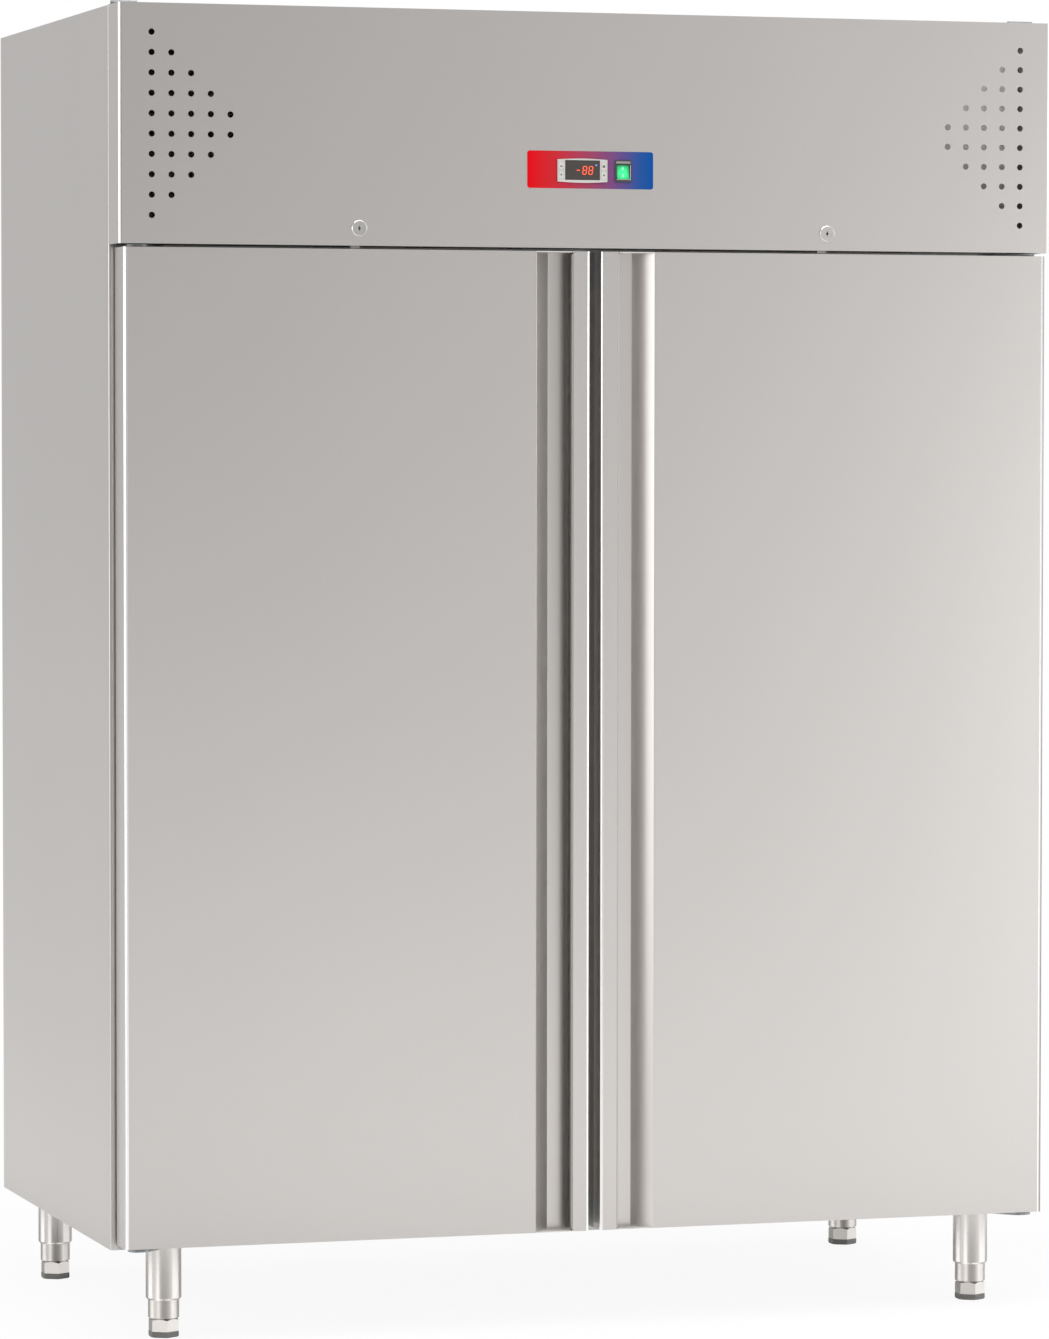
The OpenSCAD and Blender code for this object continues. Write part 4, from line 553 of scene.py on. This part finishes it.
def soft_lamp(name, place, aim, size, power):
    """A rectangular softbox that faces a point."""
    data = bpy.data.lights.new(name, "AREA")
    data.shape = "RECTANGLE"
    data.size, data.size_y = size
    data.energy = power
    lamp = bpy.data.objects.new(name, data)
    lamp.location = place
    lamp.rotation_euler = (Vector(aim) - Vector(place)).to_track_quat("-Z", "Y").to_euler()
    bpy.context.scene.collection.objects.link(lamp)
    return lamp


soft_lamp("left_softbox", (-4.6, -1.2, 1.4), (0, 0, 1.0), (1.4, 2.6), 12)
soft_lamp("right_softbox", (4.4, -4.2, 0.9), (0, -0.3, 0.7), (2.6, 1.8), 45)
soft_lamp("top_softbox", (0.0, -2.0, 5.4), (0, -0.6, 0.0), (6.0, 5.0), 190)
# Daylight that falls through the top slots onto the electrical box: grey in the inner vent holes
box_low, box_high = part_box("electrical_box")
box_middle, lamp_drop, aim_drop, lamp_stand_off = (box_low.x + box_high.x) / 2, 0.09, 0.10, 0.09
vent_light = soft_lamp("vent_light",
                       (box_middle, box_low.y - lamp_stand_off, box_high.z - lamp_drop),
                       (box_middle, box_low.y, box_high.z - aim_drop), (0.10, 0.20), 0.05)
vent_light.visible_camera = False


# Walls of the studio by compass angle, from the back by the left, the front and the right to the
# back: white behind the object, grey flats with two bright screens at the left and the front right.
# They are full low down and fall to half high up. The camera itself sees plain white there.

wall_levels = (
    (-180, 0.90), (-166, 0.57), (-140, 0.54), (-118, 3.1), (-98, 3.1), (-90, 1.2), (-66, 1.3),
    (-58, 2.6), (-46, 2.6), (-36, 0.7), (-25, 0.28), (-5, 0.26), (13, 0.43), (24, 0.76),
    (40, 1.04), (48, 2.3), (92, 2.4), (110, 0.78), (150, 1.0), (172, 1.0), (180, 0.90),
)
world = bpy.data.worlds.new("studio")
bpy.context.scene.world = world
world.use_nodes = True
studio_tree = world.node_tree
studio_tree.nodes.clear()
way = add(studio_tree, "SeparateXYZ", Vector=add(studio_tree, "TexCoord").outputs["Generated"])
turned = add(studio_tree, "Math", {"operation": "MULTIPLY"}, i0=way.outputs["Y"], i1=-1.0)
angle = add(studio_tree, "Math", {"operation": "ARCTAN2"}, i0=way.outputs["X"], i1=turned)
round_walls = add(studio_tree, "MapRange", Value=angle, From_Min=-math.pi, From_Max=math.pi)
walls = add(studio_tree, "ValToRGB", Fac=round_walls)
wall_stops = walls.color_ramp.elements
for degrees, _ in wall_levels[1:-1]:
    wall_stops.new((degrees + 180) / 360)
for stop, (degrees, level) in zip(wall_stops, wall_levels):
    stop.position, stop.color = (degrees + 180) / 360, (level, level, level, 1)
fall = add(studio_tree, "MapRange", Value=way.outputs["Z"],
           From_Min=0.1, From_Max=0.7, To_Min=1.0, To_Max=0.5)
backdrop = add(studio_tree, "Background", Color=walls, Strength=fall)
plain_white = add(studio_tree, "Background", Color=(1, 1, 1, 1), Strength=1.0)
camera_sees = add(studio_tree, "LightPath").outputs["Is Camera Ray"]
studio = add(studio_tree, "MixShader", i0=camera_sees, i1=backdrop, i2=plain_white)
add(studio_tree, "OutputWorld", Surface=studio)


# Floor

def white_sweep(tree, shader):
    """Matt white floor that runs out to plain white and keeps a pale shadow near the object.

    In a mirror it is white at the right and a little grey at the left. What metal sees of it from
    under a metre away is half the studio's walls, so that the leg tubes show them as upright bands,
    and dark under the cabinet.
    """
    mirror_share, under_shade, wall_share = 0.45, 0.85, 0.5
    grain = add(tree, "TexNoise", Vector=object_place(tree), Scale=200.0, Detail=2.0)
    worked(tree, shader, grain, depth_mm=0.05, strength=0.3)
    ray = add(tree, "LightPath")
    seen = ray.outputs["Is Camera Ray"]
    place = add(tree, "TexCoord").outputs["Object"]
    axes = add(tree, "SeparateXYZ", Vector=place)

    # How much of the floor is its own plain white, for the camera and for a mirror
    away = add(tree, "VectorMath", {"operation": "LENGTH"}, i0=place).outputs["Value"]
    run_out = add(tree, "MapRange", Value=away, From_Min=1.2, From_Max=3.5, To_Min=0.90, To_Max=1.0)
    direct = add(tree, "Math", {"operation": "MULTIPLY"}, i0=seen, i1=run_out)
    mirrored = add(tree, "Math", {"operation": "MAXIMUM"},
                   i0=ray.outputs["Is Glossy Ray"], i1=ray.outputs["Is Transmission Ray"])
    in_mirror = add(tree, "Math", {"operation": "MULTIPLY"}, i0=mirrored, i1=mirror_share)
    share = add(tree, "Math", {"operation": "MAXIMUM"}, i0=direct, i1=in_mirror)

    # Metal less than a metre away, and the floor under and behind the cabinet
    near = add(tree, "MapRange", Value=ray.outputs["Ray Length"],
               From_Min=0.65, From_Max=1.0, To_Min=1.0, To_Max=0.0)
    close = add(tree, "Math", {"operation": "MULTIPLY"}, i0=mirrored, i1=near)
    sideways = add(tree, "Math", {"operation": "ABSOLUTE"}, i0=axes.outputs["X"])
    within = add(tree, "MapRange", Value=sideways,
                 From_Min=1.2, From_Max=1.5, To_Min=1.0, To_Max=0.0)
    behind = add(tree, "MapRange", Value=axes.outputs["Y"], From_Min=-0.35, From_Max=-0.2)
    under = add(tree, "Math", {"operation": "MULTIPLY"}, i0=within, i1=behind)
    dark = add(tree, "Math", {"operation": "MULTIPLY"}, i0=under, i1=close)
    shade = add(tree, "Math", {"operation": "MULTIPLY"}, i0=dark, i1=under_shade)
    shaded = add(tree, "Math", {"operation": "SUBTRACT"}, i0=1.0, i1=shade)

    # Level of the plain white: full for the camera, greyer in a mirror towards the left
    greyer = add(tree, "MapRange", Value=axes.outputs["X"],
                 From_Min=-1.6, From_Max=0.4, To_Min=0.68, To_Max=1.0)
    mirror_level = add(tree, "Math", {"operation": "MULTIPLY"}, i0=greyer, i1=shaded)
    level = add(tree, "Math", {"operation": "MAXIMUM"}, i0=seen, i1=mirror_level)
    white = add(tree, "Emission", Color=(1, 1, 1, 1), Strength=level)
    floor_white = add(tree, "MixShader", i0=share, i1=shader, i2=white)
    see_walls = add(tree, "Math", {"operation": "MULTIPLY"}, i0=close, i1=wall_share)
    through = add(tree, "BsdfTransparent")
    final = add(tree, "MixShader", i0=see_walls, i1=floor_white, i2=through)
    feed(tree, tree.nodes["Material Output"], Surface=final)


floor_half = 30
floor_paint = material("matt_white_floor", "#F4F4F4", 0.0, 0.9, white_sweep)
floor_mesh = bpy.data.meshes.new("floor")
floor_mesh.from_pydata([(-floor_half, -floor_half, 0), (floor_half, -floor_half, 0),
                        (floor_half, floor_half, 0), (-floor_half, floor_half, 0)],
                       [], [(0, 1, 2, 3)])
floor_mesh.materials.append(floor_paint)
floor = bpy.data.objects.new("floor", floor_mesh)
bpy.context.scene.collection.objects.link(floor)


# Camera at the photograph's viewing angle, in metres and radians

camera_place = (-2.6912, -8.7014, 1.3574)
yaw, pitch, roll = 0.3016, -0.0408, 0.0008
camera_data = bpy.data.cameras.new("camera")
camera_data.sensor_fit = "VERTICAL"
camera_data.sensor_height = 36.0
camera_data.lens = 154.43
camera_data.clip_end = 100
camera = bpy.data.objects.new("camera", camera_data)
bpy.context.scene.collection.objects.link(camera)
bpy.context.scene.camera = camera
forward = Vector((math.sin(yaw) * math.cos(pitch), math.cos(yaw) * math.cos(pitch),
                  math.sin(pitch)))
level_right = Vector((math.cos(yaw), -math.sin(yaw), 0))
level_up = level_right.cross(forward)
right = level_right * math.cos(roll) + level_up * math.sin(roll)
up = level_up * math.cos(roll) - level_right * math.sin(roll)
turn = Matrix((right, up, -forward)).transposed().to_4x4()
camera.matrix_world = Matrix.Translation(camera_place) @ turn

bpy.context.scene.view_settings.view_transform = "Standard"
